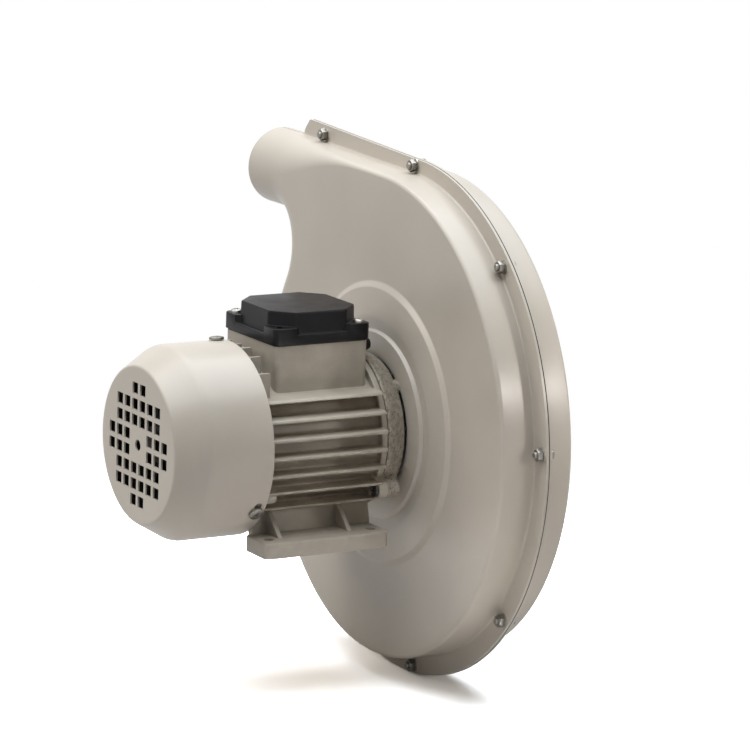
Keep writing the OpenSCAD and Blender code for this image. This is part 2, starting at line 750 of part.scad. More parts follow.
// Windings: a bar through each slot and a round coil bundle at each end
module stator_windings() color(copper) {
    coil = 13;
    inner = stator_bore + 3;
    outer = bore_r - 5;
    along(stator_back - 1, stator_front + 1)
        for (a = [0:15:345]) rotate(a) translate([inner - 1, -1.5]) square([8.5, 3]);
    turned() for (y = [stator_back - coil, stator_front]) translate([inner, y]) {
        square([outer - inner, coil - 4]);
        translate([4, 0]) square([outer - inner - 8, coil]);
        translate([4, coil - 4]) circle(r = 4, $fn = 32);
        translate([outer - inner - 4, coil - 4]) circle(r = 4, $fn = 32);
    }
}

// Cast rear endshield: bearing housing, spigot, ears and lugs for the cowl screws
module rear_endshield() color(cast_paint) difference() {
    seat = bearing_r + fit;
    spigot_r = bore_r - 0.1;
    bell_r = bore_r - 3.5;
    housing_r = bearing_r + 4.5;
    back = -barrel_back - 8;
    union() {
        turned() polygon([
            [shaft_r + 1.5, rear_seat - 3], [housing_r + 2, rear_seat - 3], [housing_r + 4, back],
            [shield_r, back], [shield_r, -barrel_back], [spigot_r, -barrel_back],
            [spigot_r, -barrel_back + spigot],
            [bell_r, -barrel_back + spigot], [bell_r, -barrel_back - 4], [housing_r, -barrel_back - 4],
            [housing_r, -barrel_back], [seat, -barrel_back], [seat, rear_seat], [shaft_r + 1.5, rear_seat]
        ]);
        for (a = tie_angles) tie_boss(a, rear_tie, back, -barrel_back);
        for (a = cowl_screw_angles)
            along(back, -barrel_back - eps) rotate(a) translate([shield_r - 8, -6])
                square([lug_r - shield_r + 8, 12]);
    }
    for (a = tie_angles) at_plan(rear_tie * dir(a), back - 1) shank(tie_r + hole_gap, 10);
    for (a = cowl_screw_angles) at_cowl_screw(a, shield_r - 4) shank(cowl_screw_r + fit, cowl_r);
}

module front_shield_bolts() color(zinc) for (a = tie_angles)
    at_plan(front_tie * dir(a), tie_back(a)) pan_screw(tie_r, barrel_front - tie_back(a) + 6.5);

module rear_shield_bolts() color(zinc) for (a = tie_angles)
    at_plan(rear_tie * dir(a), -barrel_back - 8) hex_screw(tie_r, 8 + cowl_lap + 8);

// Puts children on the cowl screw at angle a, with local z running outward from radius r
module at_cowl_screw(a, r) translate([0, cowl_screw_y, shaft_h]) rotate([0, 90 - a, 0])
    translate([0, 0, r]) children();

// Pressed fan cowl: vented end, sloped shoulder and keyhole slots for its screws
module fan_cowl() color(paint) difference() {
    path = [
        [cowl_r, cowl_rim], [cowl_r, cowl_end + cowl_slope], [cowl_face_r, cowl_end], [0, cowl_end]
    ];
    turned() polygon(sheet_outline(path, [0, 12, 4, 0], -cowl_t));
    along(cowl_end - 1, cowl_end + cowl_t + 1) {
        circle(r = vent_pitch * 0.3, $fn = 32);
        for (x = [-3.5:3.5], z = [-3.5:3.5])
            if (norm([x, z]) < 3.6 && norm([x, z]) > 1)
                translate([x, z] * vent_pitch) square(vent_w, center = true);
    }
    for (a = cowl_screw_angles) {
        at_cowl_screw(a, cowl_r - 6) cylinder(r = cowl_screw_r + hole_gap, h = 12, $fn = 32);
        at_cowl_screw(a + 5, cowl_r - 6) cylinder(r = cowl_screw_r * 1.6, h = 12, $fn = 32);
    }
}

module cowl_screws() color(zinc) for (a = cowl_screw_angles)
    at_cowl_screw(a, cowl_r + 0.5) rotate([180, 0, 0]) pan_screw(cowl_screw_r, 9);

// Puts children over the middle of the terminal box, at a height above the shaft
module over_box(z) translate([0, box_y, shaft_h + z]) children();
module at_box_screws() for (x = [-1, 1], y = [-1, 1])
    over_box(box_floor) translate([x * box_screw.x, y * box_screw.y, 0]) rotate([180, 0, 0]) children();
module at_lid_corner(c, z) over_box(z)
    translate([c.x * lid_screw, c.y * lid_screw, 0]) rotate([180, 0, 0]) children();
module at_lid_holes(z) for (c = lid_corners) at_lid_corner(c, z) children();
module at_gland(y) translate([gland_x, y, shaft_h + gland_z]) rotate([-90, 0, 0]) children();

// Terminal box that straddles the barrel
module terminal_box() color(paint) difference() {
    over_box(barrel_r * 0.5) rounded_block(box_w, box_w, box_rim - barrel_r * 0.5, 4);
    along(-barrel_back, barrel_front) circle(r = barrel_r + 0.05);
    difference() {
        over_box(box_floor) rounded_block(box_w - 2 * box_wall, box_w - 2 * box_wall, box_rim, 3);
        at_lid_holes(box_rim + 1) cylinder(r = 5, h = box_rim);
    }
    at_lid_holes(box_rim + 1) shank(lid_screw_r + fit, 11);
    over_box(0) cylinder(r = 9, h = box_rim);
    at_box_screws() translate([0, 0, -1]) shank(box_screw_r + hole_gap, 20);
    at_gland(box_y) shank(gland_r + hole_gap, box_w);
}

module box_screws() color(zinc) at_box_screws() pan_screw(box_screw_r, box_floor - barrel_r + 6);

module terminal_block() color(black) difference() {
    translate([-block.x / 2, box_y - box_w / 2 + box_wall + 0.5, shaft_h + box_floor]) cube(block);
    at_studs(box_floor - 1) cylinder(r = stud_r + fit, h = block.z + 3, $fn = 24);
}

module at_studs(z) for (i = [-1:1])
    translate([i * block.x / 3, box_y - box_w / 2 + box_wall + 0.5 + block.y / 2, shaft_h + z]) children();

module terminal_studs() color(brass) at_studs(box_floor + 1) {
    cylinder(r = stud_r, h = block.z + 3, $fn = 24);
    translate([0, 0, block.z - 1]) hex(stud_r * 3.6, stud_r * 1.6);
}

// Cable gland: a flanged body through the box wall, a domed cap and a lock nut inside
module cable_gland() color(black) difference() {
    wall_y = box_y + box_w / 2;
    at_gland(wall_y) {
        rotate(30) hex(gland_r * 2.4, 3.4);
        translate([0, 0, 2]) cylinder(r = gland_r * 1.04, h = 5, $fn = 48);
        translate([0, 0, 7]) cylinder(r1 = gland_r * 1.04, r2 = gland_r * 0.75, h = 3.4, $fn = 48);
        translate([0, 0, -box_wall - 5]) cylinder(r = gland_r, h = box_wall + 6, $fn = 48);
    }
    at_gland(wall_y - 20) cylinder(r = gland_r * 0.55, h = 50, $fn = 48);
}

module gland_nut() color(black) at_gland(box_y + box_w / 2 - box_wall - 3) difference() {
    rotate(30) hex(gland_r * 2.4, 3);
    translate([0, 0, -1]) cylinder(r = gland_r + fit, h = 5, $fn = 48);
}

module lid_gasket() color(rubber) difference() {
    over_box(box_rim) rounded_block(box_w - 0.4, box_w - 0.4, lid_gasket_t, 4);
    over_box(box_rim - 1) rounded_block(box_w - 2 * box_wall, box_w - 2 * box_wall, 3, 3);
    at_lid_holes(box_rim + 3) shank(lid_screw_r + hole_gap, 6);
}

// Square with cut corners
module octagon(w, cut) polygon([
    for (a = [0:90:270]) each [
        [[cos(a), -sin(a)], [sin(a), cos(a)]] * [w / 2, cut - w / 2],
        [[cos(a), -sin(a)], [sin(a), cos(a)]] * [w / 2, w / 2 - cut]
    ]
]);

// Moulded lid: a ledge with a raised block at each corner, and a raised octagon
module terminal_lid() color(black) difference() {
    rim_t = 2.5;
    bevel = 2;
    union() {
        difference() {
            over_box(lid_z) rounded_block(lid_w, lid_w, lid_rim_h, 3);
            for (a = [0:90:270]) over_box(lid_z + lid_ledge_h) rotate(a)
                translate([octagon_w / 2 - 1, lid_corner - lid_w / 2, 0])
                    cube([lid_w, lid_w - 2 * lid_corner, lid_rim_h]);
        }
        over_box(lid_z + 1) linear_extrude(lid_rim_h + lid_top_h - 1 - bevel)
            octagon(octagon_w, octagon_cut);
        over_box(lid_z + lid_rim_h + lid_top_h - bevel)
            linear_extrude(bevel, scale = 1 - 2 * bevel / octagon_w) octagon(octagon_w, octagon_cut);
    }
    difference() {
        over_box(lid_z - 1)
            rounded_block(lid_w - 2 * box_wall, lid_w - 2 * box_wall, lid_ledge_h + 1 - rim_t, 2);
        at_lid_holes(lid_z + lid_rim_h) cylinder(r = 4.5, h = 20);
    }
    over_box(lid_z - 1) linear_extrude(lid_rim_h + lid_top_h - rim_t + 1)
        octagon(octagon_w - 2 * rim_t, octagon_cut);
    at_lid_holes(lid_z + lid_rim_h + 1) shank(lid_screw_r + hole_gap, 20);
}

module lid_screws() color(zinc) for (i = [0, 1]) at_lid_corner(lid_corners[i], lid_z + lid_rim_h)
    pan_screw(lid_screw_r, lid_rim_h + lid_gasket_t + 8);

// Shaft: fan seat, bearing seats, thick middle, impeller nose with a keyway and a tapped end
module shaft() color(steel) difference() {
    turned() polygon([
        [0, fan_back - 4], [fan_seat_r, fan_back - 4], [fan_seat_r, fan_front], [shaft_r, fan_front],
        [shaft_r, rear_bearing + bearing_w], [core_bore, rear_bearing + bearing_w],
        [core_bore, front_bearing], [shaft_r, front_bearing], [shaft_r, hub_back],
        [nose_r, hub_back], [nose_r, hub_front - 1], [0, hub_front - 1]
    ]);
    at_key(fit) cube([key_w + 2 * fit, key_h + 2 * fit, key_len + 2 * fit]);
    at_plan([0, 0], hub_front - 19) shank(mount_r + fit, 20);
    turned() difference() {
        translate([0, fan_back - 1.5]) square([fan_seat_r + 1, 1.1]);
        translate([0, fan_back - 2]) square([fan_seat_r - 0.6, 3]);
    }
}

// Corner of the impeller key, made larger all round by gap
module at_key(gap) at_plan([-key_w / 2 - gap, nose_r - key_h * 0.6 - gap], hub_back + 4 - gap)
    mirror([0, 1, 0]) children();

module impeller_key() color(steel) at_key(0) cube([key_w, key_h, key_len]);

module rotor_core() color(steel) along(stator_back, stator_front) difference() {
    circle(r = core_r, $fn = 96);
    circle(r = core_bore + fit);
}

// Cast cage: an end ring with short fan vanes at each end of the core
module rotor_cage() color(aluminium) for (end = [0, 1]) {
    y0 = end == 0 ? stator_back - 6 : stator_front;
    vane0 = end == 0 ? stator_back - 12 : stator_front + 6;
    along(y0, y0 + 6) difference() {
        circle(r = core_r - 1.5);
        circle(r = core_r - 9);
    }
    for (a = [0:45:315])
        along(vane0, vane0 + 6) rotate(a) translate([core_r - 8, -1]) square([5.5, 2]);
}

module bearing_inner_rings() color(steel) at_bearings() rotate_extrude() difference() {
    translate([shaft_r + fit, 0]) square([ball_line - 2.3 - shaft_r - fit, bearing_w]);
    translate([ball_line, bearing_w / 2]) circle(r = ball_r + 0.05, $fn = 48);
}

module bearing_balls() color(zinc) at_bearings() for (i = [0:ball_count - 1])
    rotate(360 / ball_count * i) translate([ball_line, 0, bearing_w / 2]) sphere(r = ball_r, $fn = 32);

// Cooling fan: hub, web and straight vanes that work in either direction
module cooling_fan() color(black) difference() {
    vane_r = cowl_face_r;
    web_y = fan_front - fan_web_in;
    union() {
        along(fan_back, fan_front) circle(r = fan_hub_r);
        along(web_y, web_y + fan_web_t) circle(r = vane_r - 6);
        intersection() {
            along(fan_back + 3, web_y + 1)
                for (a = [0:360 / 7:359]) rotate(a) translate([fan_hub_r - 1, -1.1])
                    square([vane_r - fan_hub_r + 1, 2.2]);
            turned() polygon([
                [0, web_y + 1], [vane_r, web_y + 1], [vane_r, web_y - 6],
                [fan_hub_r + 18, fan_back + 3], [0, fan_back + 3]
            ]);
        }
    }
    along(fan_back - 1, fan_front + 1) circle(r = fan_seat_r + fit);
}

module fan_clip() color(steel) along(fan_back - 1.45, fan_back - 0.45) difference() {
    circle(r = fan_seat_r + 3);
    circle(r = fan_seat_r - 0.55);
    translate([-2, 0]) square([4, fan_seat_r + 4]);
}

// Impeller hub with a flange for the back plate
module impeller_hub() color(aluminium) difference() {
    turned() polygon([
        [nose_r + fit, hub_back], [hub_r, hub_back],
        [hub_r, wheel_y - hub_flange_t], [hub_flange_r, wheel_y - hub_flange_t],
        [hub_flange_r, wheel_y], [hub_r, wheel_y], [hub_r, hub_front], [nose_r + fit, hub_front]
    ]);
    at_key(fit) cube([key_w + 2 * fit, key_h + 2 * fit, keyway_cut]);
    for (a = [0:60:300]) at_plan(rivet_pcd * dir(a), wheel_y - hub_flange_t - 1)
        shank(rivet_r + fit, hub_flange_t + 2);
}

module impeller_back_plate() color(aluminium) along(wheel_y, blade_y) difference() {
    circle(r = wheel_r, $fn = 128);
    circle(r = hub_r + fit);
    for (a = [0:60:300]) translate(rivet_pcd * dir(a)) circle(r = rivet_r + fit, $fn = 32);
}

// Backward-curved blade: an arc that leaves the eye and the rim at the two blade angles
module blade_plan() {
    tip_r = wheel_r - 2;
    bend = (pow(tip_r, 2) - pow(blade_r, 2)) / 2 / (tip_r * cos(blade_out) - blade_r * cos(blade_in));
    centre = [blade_r, 0] - bend * dir(blade_in);
    intersection() {
        translate(centre) difference() {
            circle(r = bend + blade_t / 2, $fn = 128);
            circle(r = bend - blade_t / 2, $fn = 128);
        }
        difference() {
            circle(r = tip_r, $fn = 128);
            circle(r = blade_r);
        }
        polygon([[0, 0], 2 * wheel_r * dir(12), 2 * wheel_r * dir(-40), 2 * wheel_r * dir(-90)]);
    }
}

// Height of the shroud's inner face at radius r
function shroud_y(r) = blade_y + mix(blade_w_in, blade_w_out, (r - blade_r) / (wheel_r - blade_r));

module impeller_blades() color(aluminium) intersection() {
    along(blade_y, blade_y + blade_w_in + 2)
        for (i = [0:blade_count - 1]) rotate(360 / blade_count * i) blade_plan();
    turned() polygon([
        [blade_r - 4, blade_y], [wheel_r, blade_y], [wheel_r, shroud_y(wheel_r)],
        [blade_r - 4, shroud_y(blade_r - 4)]
    ]);
}

// Spun shroud: a cone from the rim to the eye with a short collar
module impeller_shroud() color(aluminium) {
    eye_r = inlet_r + inlet_t + 2.5;
    path = [
        [wheel_r, shroud_y(wheel_r)], [eye_r + blade_t, shroud_y(eye_r + blade_t)],
        [eye_r + blade_t, shroud_y(eye_r) + 6]
    ];
    turned() polygon(sheet_outline(path, [0, 4, 0], -blade_t));
}

module impeller_rivets() color(zinc) for (a = [0:60:300])
    at_plan(rivet_pcd * dir(a), wheel_y - hub_flange_t) rivet(hub_flange_t + blade_t);

// Rivet with a formed head at each end of its grip
module rivet(grip) {
    shank(rivet_r, grip);
    translate([0, 0, grip]) cylinder(r1 = rivet_r * 1.8, r2 = rivet_r, h = 1.8, $fn = 32);
    translate([0, 0, -1.5]) cylinder(r1 = rivet_r, r2 = rivet_r * 1.6, h = 1.5, $fn = 32);
}

module impeller_washer() color(zinc) at_plan([0, 0], hub_front) difference() {
    cylinder(r = hub_r - 3, h = end_washer_t);
    translate([0, 0, -1]) cylinder(r = mount_r + hole_gap, h = 5);
}

module impeller_bolt() color(zinc)
    at_plan([0, 0], hub_front + end_washer_t) rotate([180, 0, 0]) hex_screw(mount_r, end_bolt_len);

rear_scroll_half();
front_scroll_half();
flange_gasket();
scroll_bolts();
scroll_washers();
scroll_nuts();
inlet_ring();
inlet_guard();
inlet_screws();
motor_mount_screws();
front_endshield();
shaft_seal();
bearing_outer_rings();
wave_washer();
motor_frame();
stator_core();
stator_windings();
rear_endshield();
front_shield_bolts();
rear_shield_bolts();
fan_cowl();
cowl_screws();
terminal_box();
box_screws();
terminal_block();
terminal_studs();
cable_gland();
gland_nut();
lid_gasket();
terminal_lid();
lid_screws();
shaft();
rotor_core();
rotor_cage();
bearing_inner_rings();
bearing_balls();
cooling_fan();
fan_clip();
impeller_hub();
impeller_back_plate();
impeller_blades();
impeller_shroud();
impeller_rivets();
impeller_key();
impeller_washer();
impeller_bolt();
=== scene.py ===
# %% [markdown]
# # A centrifugal blower
# A pressed steel scroll casing hangs on the end of a small foot-mounted motor. The solid model gives every
# piece its place; this lesson gives the pieces their finish and builds the smooth pressed and cast surfaces
# again as fine grids, because a triangulated solid shows its facets in a soft studio light.

# %% Load the solid model
import json
import math

import bmesh
import bpy
import numpy as np
from mathutils import Matrix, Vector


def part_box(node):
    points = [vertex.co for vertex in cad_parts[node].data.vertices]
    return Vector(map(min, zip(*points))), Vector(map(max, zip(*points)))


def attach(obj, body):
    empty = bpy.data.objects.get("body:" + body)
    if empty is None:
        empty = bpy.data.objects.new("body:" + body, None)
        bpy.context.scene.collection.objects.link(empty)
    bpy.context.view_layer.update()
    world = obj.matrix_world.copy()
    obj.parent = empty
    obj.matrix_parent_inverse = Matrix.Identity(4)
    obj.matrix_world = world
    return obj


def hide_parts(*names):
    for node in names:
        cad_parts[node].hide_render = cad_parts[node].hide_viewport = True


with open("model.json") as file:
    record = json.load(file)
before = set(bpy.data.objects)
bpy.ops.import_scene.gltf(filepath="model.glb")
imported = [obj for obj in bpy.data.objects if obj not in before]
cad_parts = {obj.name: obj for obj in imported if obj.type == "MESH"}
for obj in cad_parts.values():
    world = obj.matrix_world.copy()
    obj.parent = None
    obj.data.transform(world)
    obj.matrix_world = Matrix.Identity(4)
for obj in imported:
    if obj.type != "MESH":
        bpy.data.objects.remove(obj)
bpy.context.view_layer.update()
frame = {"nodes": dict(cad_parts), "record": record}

MM = 0.001
nodes = frame["nodes"]
scene = bpy.context.scene
print("solid pieces:", len(nodes))

# %% [markdown]
# ## The camera
# The photograph was taken with a long lens from the motor's side, a little above the shaft. Three directions
# and a place describe such a camera fully: which way is right, which way is up, which way it looks back, and
# where it stands. A 192 mm lens on a 36 mm sensor gives the flat, nearly parallel look of a product picture.

# %% Place the camera
RIGHT = (0.50072, 0.86501, 0.03207)
UP = (-0.19068, 0.07409, 0.97885)
BACK = (0.84435, -0.49625, 0.20204)
STAND = (2.36556, -1.31784, 0.67190)

lens = bpy.data.cameras.new("product_lens")
lens.sensor_width = 36
lens.lens = 192
lens.clip_end = 30
camera = bpy.data.objects.new("camera", lens)
scene.collection.objects.link(camera)
camera.matrix_world = Matrix([[RIGHT[k], UP[k], BACK[k], STAND[k]] for k in range(3)] + [[0, 0, 0, 1]])
scene.camera = camera
print("camera at", STAND)

# %% [markdown]
# ## Light and floor
# The picture is lit from above: a large soft lamp over the object makes every upper face bright and leaves
# the undersides dark. A narrow lamp lights the floor on the right, and the paper throws that light back onto
# the sides of the casing, the cowl and the feet. A weak one reaches the casing's wall directly, and a small
# one high in front lights the plate, more at its top than at its foot. The floor touches the casing's lowest
# point. It is white paper, exposed so that only the shadow is darker than the background, and it fades out
# into the white world, so no edge shows.

# %% One function for colours and one for shader nodes
def linear(hex_colour):
    """sRGB hex to linear RGBA: c / 12.92 near black, otherwise ((c + 0.055) / 1.055) ** 2.4."""
    channels = np.array([int(hex_colour[k:k + 2], 16) for k in (1, 3, 5)]) / 255
    values = np.where(channels <= 0.04045, channels / 12.92, ((channels + 0.055) / 1.055) ** 2.4)
    return (*values.tolist(), 1.0)


def add(tree, kind, inputs=(), **settings):
    """Adds one node: settings are its own properties, inputs pairs a socket with a value or an output."""
    node = tree.nodes.new(kind)
    for name, value in settings.items():
        setattr(node, name, value)
    for socket, value in dict(inputs).items():
        if isinstance(value, bpy.types.NodeSocket):
            tree.links.new(value, node.inputs[socket])
        else:
            node.inputs[socket].default_value = value
    return node


# %% The lamps
def soft_lamp(name, place, target, size, power, colour, beam=180):
    """A flat lamp at place, turned so that its -Z axis points at target. beam is the angle, in degrees, that
    its light spreads over."""
    lamp = bpy.data.lights.new(name, "AREA")
    lamp.shape = "RECTANGLE"
    lamp.size = size[0]
    lamp.size_y = size[1]
    lamp.energy = power
    lamp.spread = math.radians(beam)
    lamp.color = linear(colour)[:3]
    holder = bpy.data.objects.new(name, lamp)
    scene.collection.objects.link(holder)
    away = Matrix.Translation(place).to_translation() - Matrix.Translation(target).to_translation()
    holder.matrix_world = Matrix.Translation(place) @ away.to_track_quat("Z", "Y").to_matrix().to_4x4()


FLOOR_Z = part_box("rear_scroll_half")[0].z
MIDDLE = (0, 0.03, 0.07)
FLOOR_SPOT = (0.38, 0.0, FLOOR_Z)
WALL_SPOT = (0.12, 0.16, 0.12)
soft_lamp("overhead_lamp", (0.0, -0.05, 1.6), MIDDLE, (1.8, 2.4), 53, "#F6FAFF")
soft_lamp("floor_lamp", (0.5, 0.0, 1.2), FLOOR_SPOT, (0.1, 0.1), 1.8, "#FFFAF5", beam=18)
soft_lamp("wall_lamp", (0.72, 0.45, 0.35), WALL_SPOT, (0.15, 0.15), 0.045, "#FFFAF5", beam=16)
soft_lamp("front_lamp", (-0.7, -1.45, 0.95), MIDDLE, (0.8, 0.8), 9.5, "#FFF8F0")
print("lamps:", len(bpy.data.lights))

# %% The white world
def seen_rays(tree):
    """1 for the rays that show a surface: camera rays, mirror-like reflections and rays through glass."""
    path = add(tree, "ShaderNodeLightPath")
    share = add(tree, "ShaderNodeMath", {0: path.outputs["Is Camera Ray"], 1: path.outputs["Is Glossy Ray"]},
                operation="MAXIMUM")
    share = add(tree, "ShaderNodeMath", {0: share.outputs[0], 1: path.outputs["Is Transmission Ray"]},
                operation="MAXIMUM")
    return share.outputs[0]


def studio_world(ambient_level):
    """White for the rays that show it, and ambient_level for the light that it gives."""
    world = bpy.data.worlds.new("white_studio")
    world.use_nodes = True
    tree = world.node_tree
    tree.nodes.clear()
    ambient = add(tree, "ShaderNodeBackground", {"Color": linear("#FFFFFF"), "Strength": ambient_level})
    white = add(tree, "ShaderNodeBackground", {"Color": linear("#FFFFFF"), "Strength": 1.0})
    both = add(tree, "ShaderNodeMixShader", {0: seen_rays(tree), 1: ambient.outputs[0], 2: white.outputs[0]})
    add(tree, "ShaderNodeOutputWorld", {"Surface": both.outputs[0]})
    return world


# %% The paper
FADE_CENTRE = (0, 0.05, FLOOR_Z)
FADE_START = 0.34
FADE_STOP = 0.75


def paper_floor():
    """White paper. To the camera it returns almost three times the light of a white sheet, so that it clips
    to white outside the shadow. To bounced light it is grey, and far from the middle it fades out."""
    paper = bpy.data.materials.new("white_paper_floor")
    paper.use_nodes = True
    tree = paper.node_tree
    tree.nodes.clear()
    lit = add(tree, "ShaderNodeBsdfDiffuse", {"Color": linear("#FFFFFF")})
    twice = add(tree, "ShaderNodeAddShader", {0: lit.outputs[0], 1: lit.outputs[0]})
    more = add(tree, "ShaderNodeBsdfDiffuse", {"Color": linear("#D4D4D4")})
    shown = add(tree, "ShaderNodeAddShader", {0: twice.outputs[0], 1: more.outputs[0]})
    dull = add(tree, "ShaderNodeBsdfDiffuse", {"Color": linear("#D8D6D4")})
    direct = add(tree, "ShaderNodeLightPath").outputs["Is Camera Ray"]
    both = add(tree, "ShaderNodeMixShader", {0: direct, 1: dull.outputs[0], 2: shown.outputs[0]})
    place = add(tree, "ShaderNodeTexCoord").outputs["Object"]
    far = add(tree, "ShaderNodeVectorMath", {0: place, 1: FADE_CENTRE}, operation="DISTANCE")
    fade = add(tree, "ShaderNodeMapRange", {"Value": far.outputs["Value"], "From Min": FADE_START,
                                            "From Max": FADE_STOP}, interpolation_type="SMOOTHSTEP")
    clear = add(tree, "ShaderNodeBsdfTransparent")
    faded = add(tree, "ShaderNodeMixShader", {0: fade.outputs[0], 1: both.outputs[0], 2: clear.outputs[0]})
    add(tree, "ShaderNodeOutputMaterial", {"Surface": faded.outputs[0]})
    return paper


# %% World and floor
AMBIENT = 0.08
FLOOR_HALF = 0.9
SQUARE = [(-1, -1), (1, -1), (1, 1), (-1, 1)]

scene.world = studio_world(AMBIENT)
floor_mesh = bpy.data.meshes.new("floor")
floor_points = np.column_stack([np.array(SQUARE) * FLOOR_HALF, np.full(len(SQUARE), FLOOR_Z)])
floor_mesh.from_pydata(floor_points.tolist(), [], [(0, 1, 2, 3)])
floor_mesh.materials.append(paper_floor())
floor = bpy.data.objects.new("floor", floor_mesh)
scene.collection.objects.link(floor)
scene.view_settings.view_transform = "Standard"
print("floor at", round(FLOOR_Z, 4))

# %% [markdown]
# ## Finishes
# Each finish starts from the real one. Two are painted shade: the near-black lining inside the cowl and the
# dark steel on the shaft and the fan's clip. Satin paint on pressed steel has a faint orange-peel skin and
# slow changes of tone. The same paint on a die casting is duller and pocked. The raw sand casting keeps the
# grain of its mould.
# Moulded plastic has a fine spark-eroded grain, and zinc plate is bright with a soft haze.
# Each pattern is noise on the object's own coordinates, which needs no unwrapping and runs on over seams, and
# its size is given in millimetres. Grain under half a millimetre wouldn't show in the picture, so on plastic,
# rubber and plated or ground metal it is drawn as coarse as it needs to be.

# %% A finish from noise layers
HAZE = 0.05
PIT_COLOUR = "#2E2A25"


def finish(name, colour, dark, rough, tone_mm, grain_mm, bump_mm, metal=0.0, pits=0.0, pit_mm=2.0, gloss=0.5):
    """A shader from three noise layers. A slow one of tone_mm mixes colour with dark and moves the roughness
    by HAZE. A fine one of grain_mm is a bump of bump_mm. Where a third of pit_mm is low, pits darkens the
    colour. A noise texture has about one feature per 1 / scale metres, and gloss is the shader's specular
    level."""
    material = bpy.data.materials.new(name)
    material.use_nodes = True
    tree = material.node_tree
    tree.nodes.clear()
    place = add(tree, "ShaderNodeTexCoord").outputs["Object"]
    slow = add(tree, "ShaderNodeTexNoise", {"Vector": place, "Scale": 1 / (tone_mm * MM), "Detail": 4.0})
    fine = add(tree, "ShaderNodeTexNoise", {"Vector": place, "Scale": 1 / (grain_mm * MM), "Detail": 2.0})
    spots = add(tree, "ShaderNodeTexNoise", {"Vector": place, "Scale": 1 / (pit_mm * MM), "Detail": 3.0})
    tone = add(tree, "ShaderNodeMapRange", {"Value": slow.outputs["Fac"], "From Min": 0.35, "From Max": 0.65})
    shade = add(tree, "ShaderNodeMix", {"Factor": tone.outputs[0], 6: linear(dark), 7: linear(colour)},
                data_type="RGBA")
    pit = add(tree, "ShaderNodeMapRange", {"Value": spots.outputs["Fac"], "From Min": 0.36, "From Max": 0.46,
                                           "To Min": pits, "To Max": 0.0})
    pitted = add(tree, "ShaderNodeMix", {"Factor": pit.outputs[0], 6: shade.outputs[2],
                                         7: linear(PIT_COLOUR)}, data_type="RGBA")
    dull = add(tree, "ShaderNodeMapRange", {"Value": slow.outputs["Fac"], "From Min": 0.3, "From Max": 0.7,
                                            "To Min": rough - HAZE, "To Max": rough + HAZE})
    bump = add(tree, "ShaderNodeBump", {"Height": fine.outputs["Fac"], "Distance": bump_mm * MM})
    skin = add(tree, "ShaderNodeBsdfPrincipled", {
        "Base Color": pitted.outputs[2], "Roughness": dull.outputs[0], "Metallic": metal,
        "Normal": bump.outputs[0], "Specular IOR Level": gloss})
    add(tree, "ShaderNodeOutputMaterial", {"Surface": skin.outputs[0]})
    return material


# %% Paints and castings
# Satin polyester paint, sprayed and baked on pressed steel: smooth, with a faint orange peel and soft lights.
satin_paint = finish("satin_paint_on_pressed_steel", "#BCB4A8", "#B6AEA2", 0.33,
                     tone_mm=70, grain_mm=1.8, bump_mm=0.012)
# The same paint on a die casting: the skin of the metal shows through, duller and a little pocked.
casting_paint = finish("satin_paint_on_die_casting", "#A8A093", "#A0988B", 0.42,
                       tone_mm=12, grain_mm=1.1, bump_mm=0.04, pits=0.03, pit_mm=1.2)
# Sand-cast aluminium under a thin coat: a coarse grain with dark pits, and bright on its high spots.
sand_casting = finish("sand_cast_aluminium", "#A39B8E", "#857D71", 0.52, metal=0.15,
                      tone_mm=4, grain_mm=1.1, bump_mm=0.22, pits=0.55, pit_mm=1.5)
# Near-black painted shade for the inside of the cowl, so that the vents look dark from outside: matt and
# soft.
painted_shade_lining = finish("painted_shade_lining", "#17161A", "#131216", 0.7, tone_mm=15, grain_mm=0.8, bump_mm=0.02)

# %% Plastics and rubber
# Injection-moulded ABS from a spark-eroded mould: a fine even grain that spreads the highlights.
black_plastic = finish("moulded_black_plastic", "#100F12", "#0D0C0F", 0.36,
                       tone_mm=20, grain_mm=0.6, bump_mm=0.015, gloss=0.18)
# Nitrile gasket rubber, cut from sheet: matt and nearly black.
gasket_rubber = finish("dark_gasket_rubber", "#1E1E1F", "#191919", 0.75,
                       tone_mm=6, grain_mm=0.6, bump_mm=0.03)

# %% Metals
# Zinc plate on steel: bright, with a soft haze from the plating bath.
zinc_plate = finish("bright_zinc_plate", "#BDBBB5", "#A9A6A0", 0.34, metal=1.0,
                    tone_mm=4, grain_mm=0.8, bump_mm=0.01)
# Dull zinc plate of the casing's bolts and nuts and the cowl's screws: a greyer, darker copy of the bright
# zinc.
dull_zinc = finish("dull_zinc_plate", "#8F8C86", "#7B7872", 0.4, metal=1.0,
                   tone_mm=4, grain_mm=0.8, bump_mm=0.01)
# Blackened steel of the endshield's screws, and painted shade on the shaft and the fan's clip: dull, with
# worn lighter spots.
dark_steel = finish("blackened_steel_and_painted_shade", "#4A4845", "#343230", 0.42, metal=0.9,
                    tone_mm=3, grain_mm=0.7, bump_mm=0.02)
# Ground and hardened steel of the bearings: cool grey with clear reflections.
ground_steel = finish("ground_bearing_steel", "#B9BBBD", "#A8AAAC", 0.25, metal=1.0,
                      tone_mm=8, grain_mm=0.7, bump_mm=0.01)
# Stacked electrical sheet: a dark blued grey with the ridges of the stack.
lamination = finish("stacked_electrical_sheet", "#7C7E82", "#6B6D70", 0.45, metal=1.0,
                    tone_mm=3, grain_mm=0.5, bump_mm=0.03)
# Varnished copper wire: a dark red-brown under a glossy resin.
copper = finish("varnished_copper_wire", "#A4552E", "#8C4524", 0.35, metal=0.8,
                tone_mm=3, grain_mm=0.8, bump_mm=0.15)
# Plain turned brass of the terminal studs.
brass = finish("plain_brass", "#B8954E", "#A98643", 0.32, metal=1.0, tone_mm=6, grain_mm=0.6, bump_mm=0.01)
